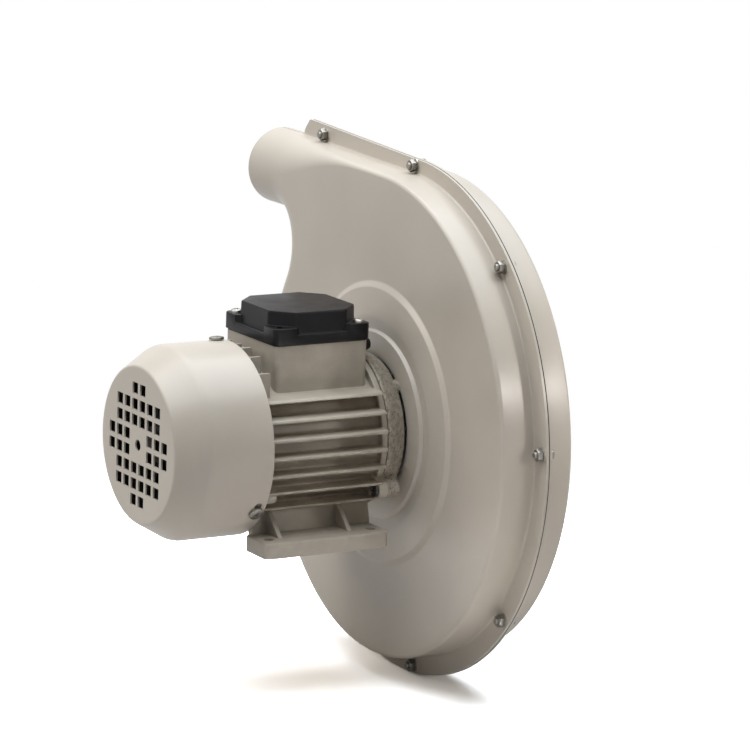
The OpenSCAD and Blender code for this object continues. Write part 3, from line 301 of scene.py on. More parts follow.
# Mill-finish aluminium sheet of the impeller: pale, with faint rolling haze.
mill_aluminium = finish("mill_aluminium_sheet", "#C9CACB", "#BBBCBD", 0.36, metal=1.0,
                        tone_mm=12, grain_mm=0.8, bump_mm=0.01)

# %% Finishes for the record's slots
SLOT_FINISH = {
    "sheet_paint": satin_paint,
    "casting_paint": casting_paint,
    "raw_casting": sand_casting,
    "black_plastic": black_plastic,
    "zinc_fasteners": zinc_plate,
    "bearing_steel": ground_steel,
    "lamination_steel": lamination,
    "copper_wire": copper,
    "terminal_brass": brass,
    "wheel_aluminium": mill_aluminium,
    "gasket_rubber": gasket_rubber,
}
# The shaft and the fan's clip get the dark steel as painted shade, so nothing bright shows behind the vents.
NODE_FINISH = {"shaft": dark_steel, "fan_clip": dark_steel}
slot_of = {sub["node"]: sub["material_slot"] for sub in frame["record"]["subparts"]}
for name, solid in nodes.items():
    solid.data.materials.clear()
    solid.data.materials.append(NODE_FINISH.get(name, SLOT_FINISH[slot_of[name]]))
print("finishes:", len(SLOT_FINISH))

# %% [markdown]
# ## Surfaces from grids
# A pressed or turned surface is a function of two parameters, so a table of points in rows and columns
# describes it, and each square of the table becomes a face. One function joins such tables into a piece,
# closes the seams where they meet, and gives thin sheet its thickness.

# %% Grids to pieces
def grid_faces(rows, cols, wrap_rows=False, wrap_cols=False, flip=False):
    """Faces of a table of points: each joins (i, j), (i+1, j), (i+1, j+1) and (i, j+1)."""
    i = np.arange(rows if wrap_rows else rows - 1)[:, None]
    j = np.arange(cols if wrap_cols else cols - 1)[None, :]
    next_i = (i + 1) % rows
    next_j = (j + 1) % cols
    corners = [i * cols + j, next_i * cols + j, next_i * cols + next_j, i * cols + next_j]
    faces = np.stack(np.broadcast_arrays(*corners), -1).reshape(-1, 4)
    return faces[:, ::-1] if flip else faces


def join_tables(tables):
    """Stacks (points, faces) tables: the faces of each count on from the points before it."""
    points = []
    faces = []
    count = 0
    for table_points, table_faces in tables:
        flat = np.asarray(table_points, float).reshape(-1, 3)
        points.append(flat)
        faces += (np.asarray(table_faces) + count).tolist()
        count += len(flat)
    return np.concatenate(points), faces


def sharpen_rim(mesh):
    """Marks the edges that have one face only as sharp, so that a sheet's cut edge keeps its flat shading."""
    used = np.empty(len(mesh.loops), int)
    mesh.loops.foreach_get("edge_index", used)
    rim = np.bincount(used, minlength=len(mesh.edges)) == 1
    sharp = mesh.attributes.get("sharp_edge") or mesh.attributes.new("sharp_edge", "BOOLEAN", "EDGE")
    flags = np.empty(len(mesh.edges), bool)
    sharp.data.foreach_get("value", flags)
    sharp.data.foreach_set("value", flags | rim)


def make_piece(name, tables, material, body, replaced, wall=0.0, crease=40, merge=0.02, lining=None):
    """Makes one object from tables in millimetres: points closer than merge are joined, edges sharper than
    crease degrees stay sharp, and wall is the thickness that a sheet gets on its inner side, which the
    lining covers."""
    points, faces = join_tables(tables)
    mesh = bpy.data.meshes.new(name)
    mesh.from_pydata((points * MM).tolist(), [], faces)
    work = bmesh.new()
    work.from_mesh(mesh)
    bmesh.ops.remove_doubles(work, verts=work.verts, dist=merge * MM)
    bmesh.ops.dissolve_degenerate(work, edges=work.edges, dist=merge * MM * 0.1)
    work.to_mesh(mesh)
    work.free()
    mesh.polygons.foreach_set("use_smooth", np.ones(len(mesh.polygons), bool))
    mesh.set_sharp_from_angle(angle=math.radians(crease))
    sharpen_rim(mesh)
    mesh.materials.append(material)
    piece = bpy.data.objects.new(name, mesh)
    scene.collection.objects.link(piece)
    if wall:
        skin = piece.modifiers.new("sheet", "SOLIDIFY")
        skin.thickness = wall * MM
        skin.offset = -1
        if lining:
            mesh.materials.append(lining)
            skin.material_offset = 1
    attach(piece, body)
    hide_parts(*replaced)
    print(name, len(mesh.vertices), "points")


# %% Directions, mixes and rounded corners
def direction(degrees):
    """Unit vectors at angles measured from +X towards +Z, seen from the motor's cowl."""
    angle = np.radians(degrees)
    return np.stack([np.cos(angle), np.sin(angle)], -1)


def ease(t):
    """Smooth step from 0 to 1: 3 t^2 - 2 t^3."""
    return t * t * (3 - 2 * t)


def blend(a, b, t):
    """Straight mix of two numbers or points: a + (b - a) t."""
    return np.asarray(a) + (np.asarray(b) - np.asarray(a)) * t


def at_height(flat, height):
    """Flat points with a height: one number for all of them, or a column of numbers."""
    return np.hstack([flat, np.broadcast_to(height, (len(flat), 1))])


def step_rings(path, radii, steps=7):
    """A path with its inner corners rounded. Each corner becomes a quadratic curve, (1 - t)^2 start +
    2 t (1 - t) corner + t^2 stop, between the points that lie its radius before and after it."""
    path = np.asarray(path, float)
    points = [path[:1]]
    for before, here, after, size in zip(path[:-2], path[1:-1], path[2:], radii):
        start = here + (before - here) / np.linalg.norm(before - here) * size
        stop = here + (after - here) / np.linalg.norm(after - here) * size
        t = np.linspace(0, 1, steps)[:, None]
        points.append((1 - t) ** 2 * start + 2 * t * (1 - t) * here + t ** 2 * stop)
    points.append(path[-1:])
    return np.concatenate(points)


# %% [markdown]
# ## The scroll casing
# Each half of the casing is one deep-drawn sheet: a bolting flange, a wall that stands square to it, a
# rounded edge and a flat end plate. The wall's plan is a round disc, a quarter that gains radius, a straight
# run to the outlet and a concave tongue under it. A station walks round that plan, and at every station the
# same section is drawn, so the casing is one table. Towards the outlet the edge radius grows until the
# section is a quarter of the outlet tube, which is how the press tool blends the plate into the round mouth.
# Round the motor the rear plate is pressed again, into a low disc, a groove and a pad for the motor.

# %% Plan of the wall
SHAFT_Z = 71.0
SPLIT_Y = 103.5
SCROLL_R = 166.0
GAIN = 10.0
DEPTH = 28.0
SHEET = 1.8
GASKET = 0.8
FLANGE_W = 15.0
TONGUE_R = 29.0
OUTLET_R = 28.0
OUTLET_UP = 153.0
REACH = 199.0

arc_centre = np.array([-GAIN, 0.0])
arc_r = SCROLL_R + GAIN
tongue_z = OUTLET_UP - OUTLET_R - TONGUE_R
tongue = np.array([-math.sqrt((SCROLL_R + TONGUE_R) ** 2 - tongue_z ** 2), tongue_z])
tongue_turn = math.degrees(math.atan2(-tongue[1], -tongue[0]))
neck_x = tongue[0]
run_end = np.array([neck_x, OUTLET_UP + OUTLET_R])
run_way = run_end - arc_centre
arc_end = math.degrees(math.atan2(run_way[1], run_way[0]) - math.acos(arc_r / np.hypot(*run_way)))
run_start = arc_centre + arc_r * direction(arc_end)
run_turn = math.degrees(math.atan2(run_start[1], run_start[0]))
print("middle of the tongue:", tongue.round(1))

# %% Stations along the straight run
RUN_ROWS = 90
EDGE_R = 2.8
# The flange over the run begins with a slant at LIP_X and stays under a line between two points.
LIP_X = -165.0
LIP_SLANT = 12.0
LIP_RISE = 14.0
LIP_LINE_X = (-5.0, -153.0)
LIP_LINE_Z = (186.0, 193.0)
LIP_ROOTED = 0.25
# Rows of the run and of the tongue that the plate leaves out, and the turn at which it closes on itself.
RUN_MEETS = 20
MEET_TURN = 134.0
MEET_HALF = 0.4


def run_stations():
    """The straight run from the outlet's top to the arc: a mix of its two ends. The edge radius falls from
    the outlet's as 1 - (1 - s)^2, where s is the smooth step of the way gone."""
    t = np.linspace(0, 1, RUN_ROWS)[:, None]
    since = np.clip((t - t[RUN_MEETS]) / (1 - t[RUN_MEETS]), 0, 1)
    run = blend(run_end, run_start, t)
    lip = np.clip((run[:, :1] - LIP_X) / LIP_SLANT, 0, 1)
    line = (run[:, :1] - LIP_LINE_X[0]) / (LIP_LINE_X[1] - LIP_LINE_X[0])
    lip_z = np.minimum(run[:, 1:] + lip * LIP_RISE, blend(*LIP_LINE_Z, line))
    inward = -direction(blend(90, arc_end, ease(t[:, 0])))
    edge_r = blend(OUTLET_R, EDGE_R, 1 - (1 - ease(t)) ** 2)
    plate_turn = blend(MEET_TURN - MEET_HALF, run_turn, since)
    rooted = np.minimum(lip / LIP_ROOTED, 1)
    return [run, inward, edge_r, np.hstack([run[:, :1], lip_z]), plate_turn, rooted]


# %% Stations round the arc, the disc and the tongue
ARC_ROWS = 70
ROUND_ROWS = 160
CURL_ROWS = 60
# Beside the tongue the edge is softer: its radius grows between two shares of the way round the disc.
CURL_EDGE_R = 11.0
CURL_FROM = 0.48
CURL_TO = 0.75
# Under the outlet the flange is narrower, and its root runs out over the last rows.
TONGUE_FLANGE = 0.8
NARROWED = 0.25
ROOT_ENDS = 12


def arc_stations():
    """The quarter that gains radius: an arc about a point beside the shaft."""
    t = np.linspace(0, 1, ARC_ROWS + 1)[1:, None]
    turn = arc_end * (1 - t[:, 0])
    point = arc_centre + arc_r * direction(turn)
    lip = np.array([-GAIN / 2, 0]) + (SCROLL_R + FLANGE_W + GAIN / 2) * direction(turn * 90 / arc_end)
    plate_turn = np.degrees(np.arctan2(point[:, 1:], point[:, :1]))
    return [point, -direction(turn), np.full_like(t, EDGE_R), lip, plate_turn, np.ones_like(t)]


def round_stations():
    """The round disc about the shaft, clockwise from its right side to the tongue."""
    t = np.linspace(0, 1, ROUND_ROWS + 1)[1:, None]
    turn = -(180 - tongue_turn) * t[:, 0]
    way = direction(turn)
    softer = ease(np.clip((t - CURL_FROM) / (CURL_TO - CURL_FROM), 0, 1))
    edge_r = blend(EDGE_R, CURL_EDGE_R, softer)
    return [SCROLL_R * way, -way, edge_r, (SCROLL_R + FLANGE_W) * way, turn[:, None], np.ones_like(t)]


def curl_stations():
    """The concave tongue: an arc about its middle, up to the underside of the outlet."""
    t = np.linspace(0, 1, CURL_ROWS + 1)[1:, None]
    until = np.minimum(t / t[-RUN_MEETS - 1], 1)
    way = direction(blend(tongue_turn, 90, t[:, 0]))
    width = blend(FLANGE_W, FLANGE_W * TONGUE_FLANGE, np.minimum(t / NARROWED, 1))
    edge_r = blend(CURL_EDGE_R, OUTLET_R, ease(t))
    plate_turn = blend(180 + tongue_turn, MEET_TURN + MEET_HALF, until)
    rooted = np.minimum((1 - t) * ROOT_ENDS, 1)
    return [tongue + TONGUE_R * way, way, edge_r, tongue + (TONGUE_R - width) * way, plate_turn, rooted]


def wall_stations():
    """Walks the plan clockwise from the outlet's top. Gives for each station the wall point, the inward
    normal, the edge radius, the flange's edge point, the plate's angle and the share of the flange's root
    that is there, which falls to 0 at the outlet."""
    parts = [run_stations(), arc_stations(), round_stations(), curl_stations()]
    return [np.concatenate(columns) for columns in zip(*parts)]


print("stations round the wall:", len(wall_stations()[0]))

# %% The table of one casing half
ROOT_R = 1.3
JOIN_R = 109.5
FLANGE_SHARES = (0, 0.5, 0.9)
ROOT_COLS = 6
WALL_SHARES = (0.33, 0.67)
ROUND_COLS = 19
PLATE_COLS = 9
FLANGE_COLS = len(FLANGE_SHARES) + ROOT_COLS
LAST_WALL = FLANGE_COLS + len(WALL_SHARES) + ROUND_COLS - 1


def casing_table(side, rings):
    """The table of one casing half. Columns run from the flange's edge up the root fillet, the wall and the
    edge round to the plate, and then over rings, pairs of radius and height, towards the middle. At the
    outlet, where the flange has no root, its columns lie on the tube instead."""
    wall, inward, edge_r, lip, plate_turn, rooted = wall_stations()
    top = GASKET / 2 + SHEET
    base = top + ROOT_R
    level = DEPTH - edge_r
    first = np.arcsin(np.clip((base - level) / edge_r, 0, 1))
    foot = wall + inward * edge_r * (1 - np.cos(first))
    columns = [at_height(blend(lip, foot - inward * ROOT_R, t), top) for t in FLANGE_SHARES]
    for turn in np.radians(np.linspace(0, 90, ROOT_COLS)):
        flat = foot - inward * ROOT_R * (1 - math.sin(turn))
        columns.append(at_height(flat, top + ROOT_R * (1 - math.cos(turn))))
    for k, t in enumerate(np.linspace(0, 1, FLANGE_COLS)):
        height = np.maximum(level + edge_r * np.sin(first * t), GASKET / 2)
        tube = at_height(wall + inward * edge_r * (1 - np.cos(first * t)), height)
        columns[k] = blend(tube, columns[k], rooted)
    columns += [at_height(foot, blend(base, np.maximum(level, base), t)) for t in WALL_SHARES]
    for t in np.linspace(0, 1, ROUND_COLS):
        turn = blend(first, math.pi / 2, t)
        height = np.maximum(level + edge_r * np.sin(turn), base)
        columns.append(at_height(wall + inward * edge_r * (1 - np.cos(turn)), height))
    crest = wall + inward * edge_r
    plate_way = direction(plate_turn[:, 0])
    for t in np.linspace(0, 1, PLATE_COLS + 1)[1:]:
        columns.append(at_height(blend(crest, JOIN_R * plate_way, t), DEPTH))
    columns += [at_height(radius * plate_way, height) for radius, height in rings]
    table = np.stack(columns, 1)
    return np.stack([table[..., 0], SPLIT_Y - side * table[..., 2], SHAFT_Z + table[..., 1]], -1)


# %% Outlet, neck and halves
TUBE_ROWS = 16


def outlet_table(side):
    """Half of the outlet tube: columns go round half a circle about the outlet's axis, rows along X. The
    columns have the same turns as those of the wall, so that the two tables share their points."""
    first = math.asin((GASKET / 2 + SHEET + ROOT_R) / OUTLET_R)
    quarter = np.concatenate([np.linspace(0, first, FLANGE_COLS)[:-1],
                              np.linspace(first, math.pi / 2, ROUND_COLS)])
    turn = np.concatenate([quarter, math.pi - quarter[-2::-1]])[None, :]
    along = np.linspace(neck_x, -REACH, TUBE_ROWS)[:, None]
    height = np.maximum(OUTLET_R * np.sin(turn), GASKET / 2)
    rise = SHAFT_Z + OUTLET_UP + OUTLET_R * np.cos(turn)
    return np.stack(np.broadcast_arrays(along, SPLIT_Y - side * height, rise), -1)


def neck_bridge(crest):
    """The wedge of plate between the first points of the run's crest line and the last of the tongue's."""
    return np.stack([crest[-RUN_MEETS - 1:], crest[RUN_MEETS::-1]], 1)


def casing_half(name, side, rings, replaced):
    """One half: the wall, the plate that closes on itself, the wedge of plate at the neck and the outlet."""
    table = casing_table(side, rings)
    wall = table[:, :LAST_WALL + 1]
    plate = table[RUN_MEETS:-RUN_MEETS, LAST_WALL:]
    bridge = neck_bridge(table[:, LAST_WALL])
    tube = outlet_table(side)
    flip = side > 0
    tables = [(wall, grid_faces(*wall.shape[:2], flip=flip)),
              (plate, grid_faces(*plate.shape[:2], wrap_rows=True, flip=flip)),
              (bridge, grid_faces(*bridge.shape[:2], flip=flip)),
              (tube, grid_faces(*tube.shape[:2], flip=not flip))]
    make_piece(name, tables, satin_paint, "housing", replaced, wall=SHEET)


# %% Both halves of the casing
# Radius and height over the split: the plate, the step of the low disc, the groove, its lip and the pad.
REAR_PROFILE = [(JOIN_R - 1, DEPTH), (100.5, DEPTH), (96.5, 30.5), (76, 31.6), (67, 30.2), (65.8, 33),
                (49.5, 33)]
REAR_ROUNDINGS = [1.0, 0.8, 2.0, 0.3, 0.4]
INLET_EDGE_R = 63.0
FRONT_RINGS = 10

casing_half("rear_casing_half", 1, step_rings(REAR_PROFILE, REAR_ROUNDINGS), ("rear_scroll_half",))
front_rings = np.stack([np.linspace(JOIN_R - 1, INLET_EDGE_R, FRONT_RINGS), np.full(FRONT_RINGS, DEPTH)], -1)
casing_half("front_casing_half", -1, front_rings, ("front_scroll_half",))

# %% [markdown]
# ## The fan cowl
# The cowl is a cup drawn from thin sheet: a straight skirt, a sloped shoulder and a flat end that is punched
# with rows of square vents. The cup is a profile turned about the shaft. The punched end can't be one grid,
# so its edge and the edges of its vents are drawn as loops and Blender fills the sheet between them. Beside
# each screw the skirt has a round hole. There a window of the grid is left out and a punched strip, rolled
# round the same cylinder, takes its place.

# %% Turning
ROUND_STEPS = 144


def turned(profile):
    """Turns (radius, station) pairs about the shaft: x = r cos a, y = station, z = shaft + r sin a."""
    profile = np.asarray(profile, float)
    ways = direction(np.linspace(0, 360, ROUND_STEPS, endpoint=False))[:, None]
    radius = profile[None, :, :1]
    station = np.broadcast_to(profile[None, :, 1], (ROUND_STEPS, len(profile)))
    flat = ways * radius
    return np.stack([flat[..., 0], station, SHAFT_Z + flat[..., 1]], -1)


# %% Punching
def punched(loops):
    """Fills the plane between closed loops of (u, v) points, the first of which is the outer edge. Gives the
    points and triangles, which all turn the same way as the u and v axes."""
    points = np.concatenate(loops)
    counts = np.array([len(loop) for loop in loops])
    starts = np.cumsum(counts) - counts
    after = np.concatenate([start + (np.arange(count) + 1) % count for start, count in zip(starts, counts)])
    flat = bpy.data.meshes.new("punched_sheet")
    edges = np.stack([np.arange(len(points)), after], -1)
    flat.from_pydata(np.column_stack([points, np.zeros(len(points))]).tolist(), edges.tolist(), [])
    work = bmesh.new()
    work.from_mesh(flat)
    bmesh.ops.triangle_fill(work, use_beauty=True, use_dissolve=False, edges=work.edges[:], normal=(0, 0, 1))
    work.to_mesh(flat)
    work.free()
    corners = np.empty(len(flat.loops), int)
    flat.loops.foreach_get("vertex_index", corners)
    corners = corners.reshape(-1, 3)
    bpy.data.meshes.remove(flat)
    edge_a = points[corners[:, 1]] - points[corners[:, 0]]
    edge_b = points[corners[:, 2]] - points[corners[:, 0]]
    wrong = edge_a[:, 0] * edge_b[:, 1] - edge_a[:, 1] * edge_b[:, 0] < 0
    corners[wrong] = corners[wrong][:, ::-1]
    return points, corners


def circle(radius, steps, centre=(0, 0)):
    """Points of a circle about centre."""
    return radius * direction(np.linspace(0, 360, steps, endpoint=False)) + np.asarray(centre)


# %% Holes for the cowl's screws
COWL_RIM = -43.5
COWL_R = 67.5
COWL_SCREWS = (97.0, -37.0, 217.0)
COWL_SCREW_Y = -49.5
COWL_SCREW_R = 2.0
SCREW_PLAY = 0.25
SCREW_HOLE_POINTS = 20
KEYHOLE_TURN = 5.0
KEYHOLE_R = 2.8
KEYHOLE_POINTS = 28
STRIP_TURN = 3.0
STRIP_END = -56.5
STRIP_ROWS = 9


def keyhole_strip(first_row, turn):
    """A strip of the skirt over STRIP_ROWS rows of the grid, punched for the screw at turn and for the hole
    beside it. It is filled flat, as (distance round the skirt, station), and rolled up afterwards."""
    rows = np.arange(first_row, first_row + STRIP_ROWS + 1)
    round_way = np.radians(rows * 360 / ROUND_STEPS) * COWL_R
    low = np.column_stack([round_way, np.full(len(rows), COWL_RIM)])
    high = np.column_stack([round_way, np.full(len(rows), STRIP_END)])
    beside = (math.radians(turn + KEYHOLE_TURN) * COWL_R, COWL_SCREW_Y)
    seat = (math.radians(turn) * COWL_R, COWL_SCREW_Y)
    flat, faces = punched([np.concatenate([high, low[::-1]]), circle(KEYHOLE_R, KEYHOLE_POINTS, beside),
                           circle(COWL_SCREW_R + SCREW_PLAY, SCREW_HOLE_POINTS, seat)])
    way = direction(np.degrees(flat[:, 0] / COWL_R)) * COWL_R
    return np.column_stack([way[:, 0], flat[:, 1], SHAFT_Z + way[:, 1]]), faces[:, ::-1]


# %% Skirt and shoulder of the cowl
COWL_END = -112.5
COWL_FACE_R = 54.5
COWL_SLOPE = 22.0
COWL_ROUNDINGS = [0.01, 3.2, 1.5]
PUNCHED_R = 47.0

cup = step_rings(
    [(COWL_R, COWL_RIM), (COWL_R, STRIP_END), (COWL_R, COWL_END + COWL_SLOPE), (COWL_FACE_R, COWL_END),
     (PUNCHED_R, COWL_END)], COWL_ROUNDINGS, steps=14)
skirt_and_shoulder = turned(cup)
cup_faces = grid_faces(*skirt_and_shoulder.shape[:2], wrap_rows=True)
cowl_tables = []
for turn in COWL_SCREWS:
    first_row = round((turn + STRIP_TURN) % 360 / 360 * ROUND_STEPS - STRIP_ROWS / 2)
    face_rows = cup_faces[:, 0] // len(cup)
    face_cols = cup_faces[:, 0] % len(cup)
    in_window = ((face_rows - first_row) % ROUND_STEPS < STRIP_ROWS) & (face_cols == 0)
    cup_faces = cup_faces[~in_window]
    cowl_tables.append(keyhole_strip(first_row, turn % 360))
cowl_tables.append((skirt_and_shoulder, cup_faces))
print("strips with holes:", len(COWL_SCREWS))

# %% Vents of the cowl
COWL_SHEET = 1.2
VENT_ROWS = 8
VENT_PITCH = 11.1
VENT_HALF = (4.1, 3.9)
# A vent is punched where its middle lies between these distances from the shaft, counted in pitches.
VENT_NEAR = 1.0
VENT_FAR = 3.6
CENTRE_HOLE_R = 4.0
CENTRE_HOLE_POINTS = 24

rows = np.arange(VENT_ROWS) - (VENT_ROWS - 1) / 2
vent_x, vent_z = [grid.ravel() for grid in np.meshgrid(rows, rows)]
apart = np.hypot(vent_x, vent_z)
kept = (apart < VENT_FAR) & (apart > VENT_NEAR)
middles = np.stack([vent_x[kept], vent_z[kept]], -1) * VENT_PITCH
vents = middles[:, None] + np.array(VENT_HALF) * np.array(SQUARE)
ends, end_faces = punched([circle(PUNCHED_R, ROUND_STEPS), circle(CENTRE_HOLE_R, CENTRE_HOLE_POINTS), *vents])
end_points = np.stack([ends[:, 0], np.full(len(ends), COWL_END), SHAFT_Z + ends[:, 1]], -1)
cowl_tables.append((end_points, end_faces))
print("vents:", len(vents))
# The sheet's inner side gets the near-black lining, painted shade that keeps the vents dark.
make_piece("vented_cowl", cowl_tables, satin_paint, "housing", ("fan_cowl",),
           wall=COWL_SHEET, crease=50, lining=painted_shade_lining)

# %% [markdown]
# ## Blocks with soft edges
# Cast and moulded blocks never have a sharp edge: the mould gives each a small radius that catches the light.
# Such a block is a stack of rings. Every ring is the block's outline, drawn in by the edge radius at the two
# ends of the stack, and the first and last rings are filled.

# %% Outlines and stacks
EDGE_STEPS = 5
MITRE_LIMIT = 0.5
TINY = 1e-9


def outline(width, depth, cut, radius):
    """A rectangle with its corners cut off by cut and each of the eight new corners rounded by radius."""
    x = width / 2
    y = depth / 2
    path = np.array([(x, y - cut), (x - cut, y), (cut - x, y), (-x, y - cut), (-x, cut - y), (cut - x, -y),
                     (x - cut, -y), (x, cut - y)])
    before = np.roll(path, 1, 0) - path
    after = np.roll(path, -1, 0) - path
    before = path + before / np.linalg.norm(before, axis=1)[:, None] * radius
    after = path + after / np.linalg.norm(after, axis=1)[:, None] * radius
    t = np.linspace(0, 1, EDGE_STEPS)[None, :, None]
    curve = (1 - t) ** 2 * before[:, None] + 2 * t * (1 - t) * path[:, None] + t ** 2 * after[:, None]
    return curve.reshape(-1, 2)


def drawn_in(points, amount):
    """A convex outline moved inwards by amount: each point goes along the mean of its two side normals."""
    ahead = np.roll(points, -1, 0) - points
    ahead = ahead / np.maximum(np.linalg.norm(ahead, axis=1), TINY)[:, None]
    normal = np.stack([-ahead[:, 1], ahead[:, 0]], -1)
    mean = normal + np.roll(normal, 1, 0)
    share = np.maximum((mean * mean).sum(1), MITRE_LIMIT) / 2
    return points + amount * mean / share[:, None] / 2


def stack(rings):
    """Joins equal closed rings of points into one closed table with a filled first and last ring."""
    rings = np.asarray(rings, float)
    count = rings.shape[1]
    centres = rings[[0, -1]].mean(1)
    first = np.broadcast_to(centres[0], (1, count, 3))
    last = np.broadcast_to(centres[1], (1, count, 3))
    table = np.concatenate([first, rings, last])
    return table, grid_faces(*table.shape[:2], wrap_cols=True, flip=True)


def soft_rings(shape, low, high, edge):
    """Rings of an outline from low to high. Near both ends a ring is drawn in by edge (1 - cos a) while its
    height moves by edge (1 - sin a)."""
    turn = np.linspace(0, math.pi / 2, EDGE_STEPS)
    heights = np.concatenate([low + edge * (1 - np.sin(turn[::-1])), high - edge * (1 - np.sin(turn))])
    insets = np.concatenate([edge * (1 - np.cos(turn[::-1])), edge * (1 - np.cos(turn))])
    return np.stack([at_height(drawn_in(shape, inset), height) for inset, height in zip(insets, heights)])


def soft_block(shape, low, high, edge, place):
    """The filled stack of an outline's soft rings, where place turns (u, v, height) into a point."""
    return stack(place(soft_rings(shape, low, high, edge)))


def lengthwise(p):
    """Places an outline drawn as (x, height over the shaft), with its depth along the shaft."""
    return np.stack([p[..., 0], p[..., 2], SHAFT_Z + p[..., 1]], -1)[:, ::-1]


# %% [markdown]
# ## Terminal box lid
# The lid is one moulding in black plastic: a low ledge round the box's edge, a raised block at each corner
# for a screw, and a raised octagon with drafted sides. It is a stack of rings again. Along the sides a ring
# lies low and in the corners high, so the same rings make the ledge and the blocks. The flat top of each
# block is punched for its screw hole.

# %% Rings of the lid
LID_W = 75.0
LID_LEDGE = 6.6
LID_RIM = 11.3
LID_TOP = LID_RIM + 10.2
LID_CUT = 3.0
LID_ROUND = 1.4
LID_CORNER = 17.0
OCTAGON_W = 68.0
OCTAGON_CUT = 14.2
OCTAGON_ROUND = 1.2
OCTAGON_SIDE = 2.0
STEP_HALF = 0.5
CORNER_POINTS = 12
QUARTER_TURN = np.array([(0, 1), (-1, 0)])
RAISED = np.tile(np.concatenate([np.zeros(2), np.ones(CORNER_POINTS)]), 4)
# Rings as inset, rise and 1 where the rise counts from the ledge and its blocks instead of the lid's foot.
LEDGE_RINGS = [(0.4, 0.0, 0), (0.0, 0.4, 0), (0.0, -1.2, 1), (0.1, -0.6, 1), (0.35, -0.25, 1),
               (0.8, -0.05, 1), (1.2, 0.0, 1)]
OCTAGON_RINGS = [(-0.5, 0.0, 1), (-0.18, 0.12, 1), (0.0, 0.5, 1), (0.45, LID_TOP - 2.0, 0),
                 (0.55, LID_TOP - 1.3, 0), (0.8, LID_TOP - 0.65, 0), (1.25, LID_TOP - 0.2, 0),
                 (1.9, LID_TOP - 0.03, 0), (2.6, LID_TOP, 0)]


def lid_ring(half, cut, radius, step, inset):
    """One ring of the lid: a square of half width half with cut corners, rounded by radius. On each side two
    points lie just inside step, where the ring is low, and the corners between them are raised."""
    path = [(half, step + STEP_HALF), (half, half - cut), (half - cut, half), (step + STEP_HALF, half)]
    bend = step_rings(path, [radius, radius], EDGE_STEPS)
    quarter = np.concatenate([[(half, STEP_HALF - step), (half, step - STEP_HALF)], bend])
    quarters = [quarter @ np.linalg.matrix_power(QUARTER_TURN, k) for k in range(4)]
    return drawn_in(np.concatenate(quarters), inset)


def lid_rings():
    """All rings from the ledge's foot to the octagon's top as tables of points."""
    ledge = LID_LEDGE + (LID_RIM - LID_LEDGE) * RAISED
    low = (LID_W / 2, LID_CUT, LID_ROUND, LID_W / 2 - LID_CORNER)
    high = (OCTAGON_W / 2, OCTAGON_CUT, OCTAGON_ROUND, OCTAGON_W / 2 - OCTAGON_CUT - OCTAGON_SIDE)
    rings = []
    for sizes, profile in ((low, LEDGE_RINGS), (high, OCTAGON_RINGS)):
        for inset, rise, share in profile:
            rings.append(np.column_stack([lid_ring(*sizes, inset), ledge * share + rise]))
    return np.stack(rings)


# %% Screw holes of the lid
LID_SCREW = 30.9
LID_HOLE_R = 2.25
LID_HOLE_POINTS = 28
LID_HOLE_FOOT = 2.0
BLOCK_RING = len(LEDGE_RINGS) - 1


def block_tops(rings):
    """The flat top of each corner block between the ledge's rings and the octagon's, punched for its screw,
    and the wall of the hole down into the ledge."""
    tables = []
    for corner in range(4):
        points = np.arange(CORNER_POINTS) + corner * (CORNER_POINTS + 2) + 2
        edge = np.concatenate([rings[BLOCK_RING, points, :2], rings[BLOCK_RING + 1, points[::-1], :2]])
        hole = circle(LID_HOLE_R, LID_HOLE_POINTS, LID_SCREW * np.sign(edge.mean(0)))
        flat, faces = punched([edge, hole])
        tables.append((at_height(flat, LID_RIM), faces))
        wall = np.stack([at_height(hole, height) for height in (LID_HOLE_FOOT, LID_RIM)])
        tables.append((wall, grid_faces(*wall.shape[:2], wrap_cols=True)))
    return tables


# %% The lid
BOX_Y = 8.75
LID_LOW = 140.6

rings = lid_rings()
lid_points, lid_faces = stack(rings)
flat_strip = lid_faces[:, 0] // len(RAISED) == BLOCK_RING + 1
on_block = (RAISED[lid_faces[:, 0] % len(RAISED)] == 1) & (RAISED[lid_faces[:, 2] % len(RAISED)] == 1)
lid_tables = [(lid_points, lid_faces[~(flat_strip & on_block)])] + block_tops(rings)
lid_tables = [(points + np.array([0, BOX_Y, LID_LOW]), faces) for points, faces in lid_tables]
make_piece("octagon_lid", lid_tables, black_plastic, "housing", ("terminal_lid",))

# %% [markdown]
# ## Motor frame
# The frame is a die-cast aluminium barrel with flat fins along its sides, short ones on its crown and two
# feet. The side fins lie level, so the whole flank is one curve: over each height there is one distance
# from the middle, which jumps out along a fin. That curve is carried along the shaft. Each fin has a drafted
# section with a round tip and a fillet at its root. Feet, webs, gussets and bosses are soft blocks, and the
# holes in the feet are punched in the same way as the vents of the cowl.

# %% One fin and the flank
BARREL_R = 51.0
FIN_R = 63.0
FIN_BACK = -43.0
FIN_FRONT = 48.5
FIN_TOP = 34.0
FIN_PITCH = 12.597
FIN_COUNT = 7
# Half sizes of one fin across its length: the valley beside it, its root and its tip.
FIN_VALLEY = 5.6
FIN_ROOT = 1.75
FIN_TIP = 1.15
FIN_ROUNDINGS = [2.4, 0.95, 0.95, 2.4]
CROWN_TURNS = np.linspace(90, 52, 16)
KEEL_TURNS = np.linspace(-70, -90, 10)
# Rows at a fin's end as the distance from the end and the share of the fin's height.
FIN_END = np.array([(0, 0), (0, 0.5), (0, 0.9), (0.2, 0.96), (0.9, 1)])
FIN_MIDDLE = np.array([(-10, 1), (20, 1)])


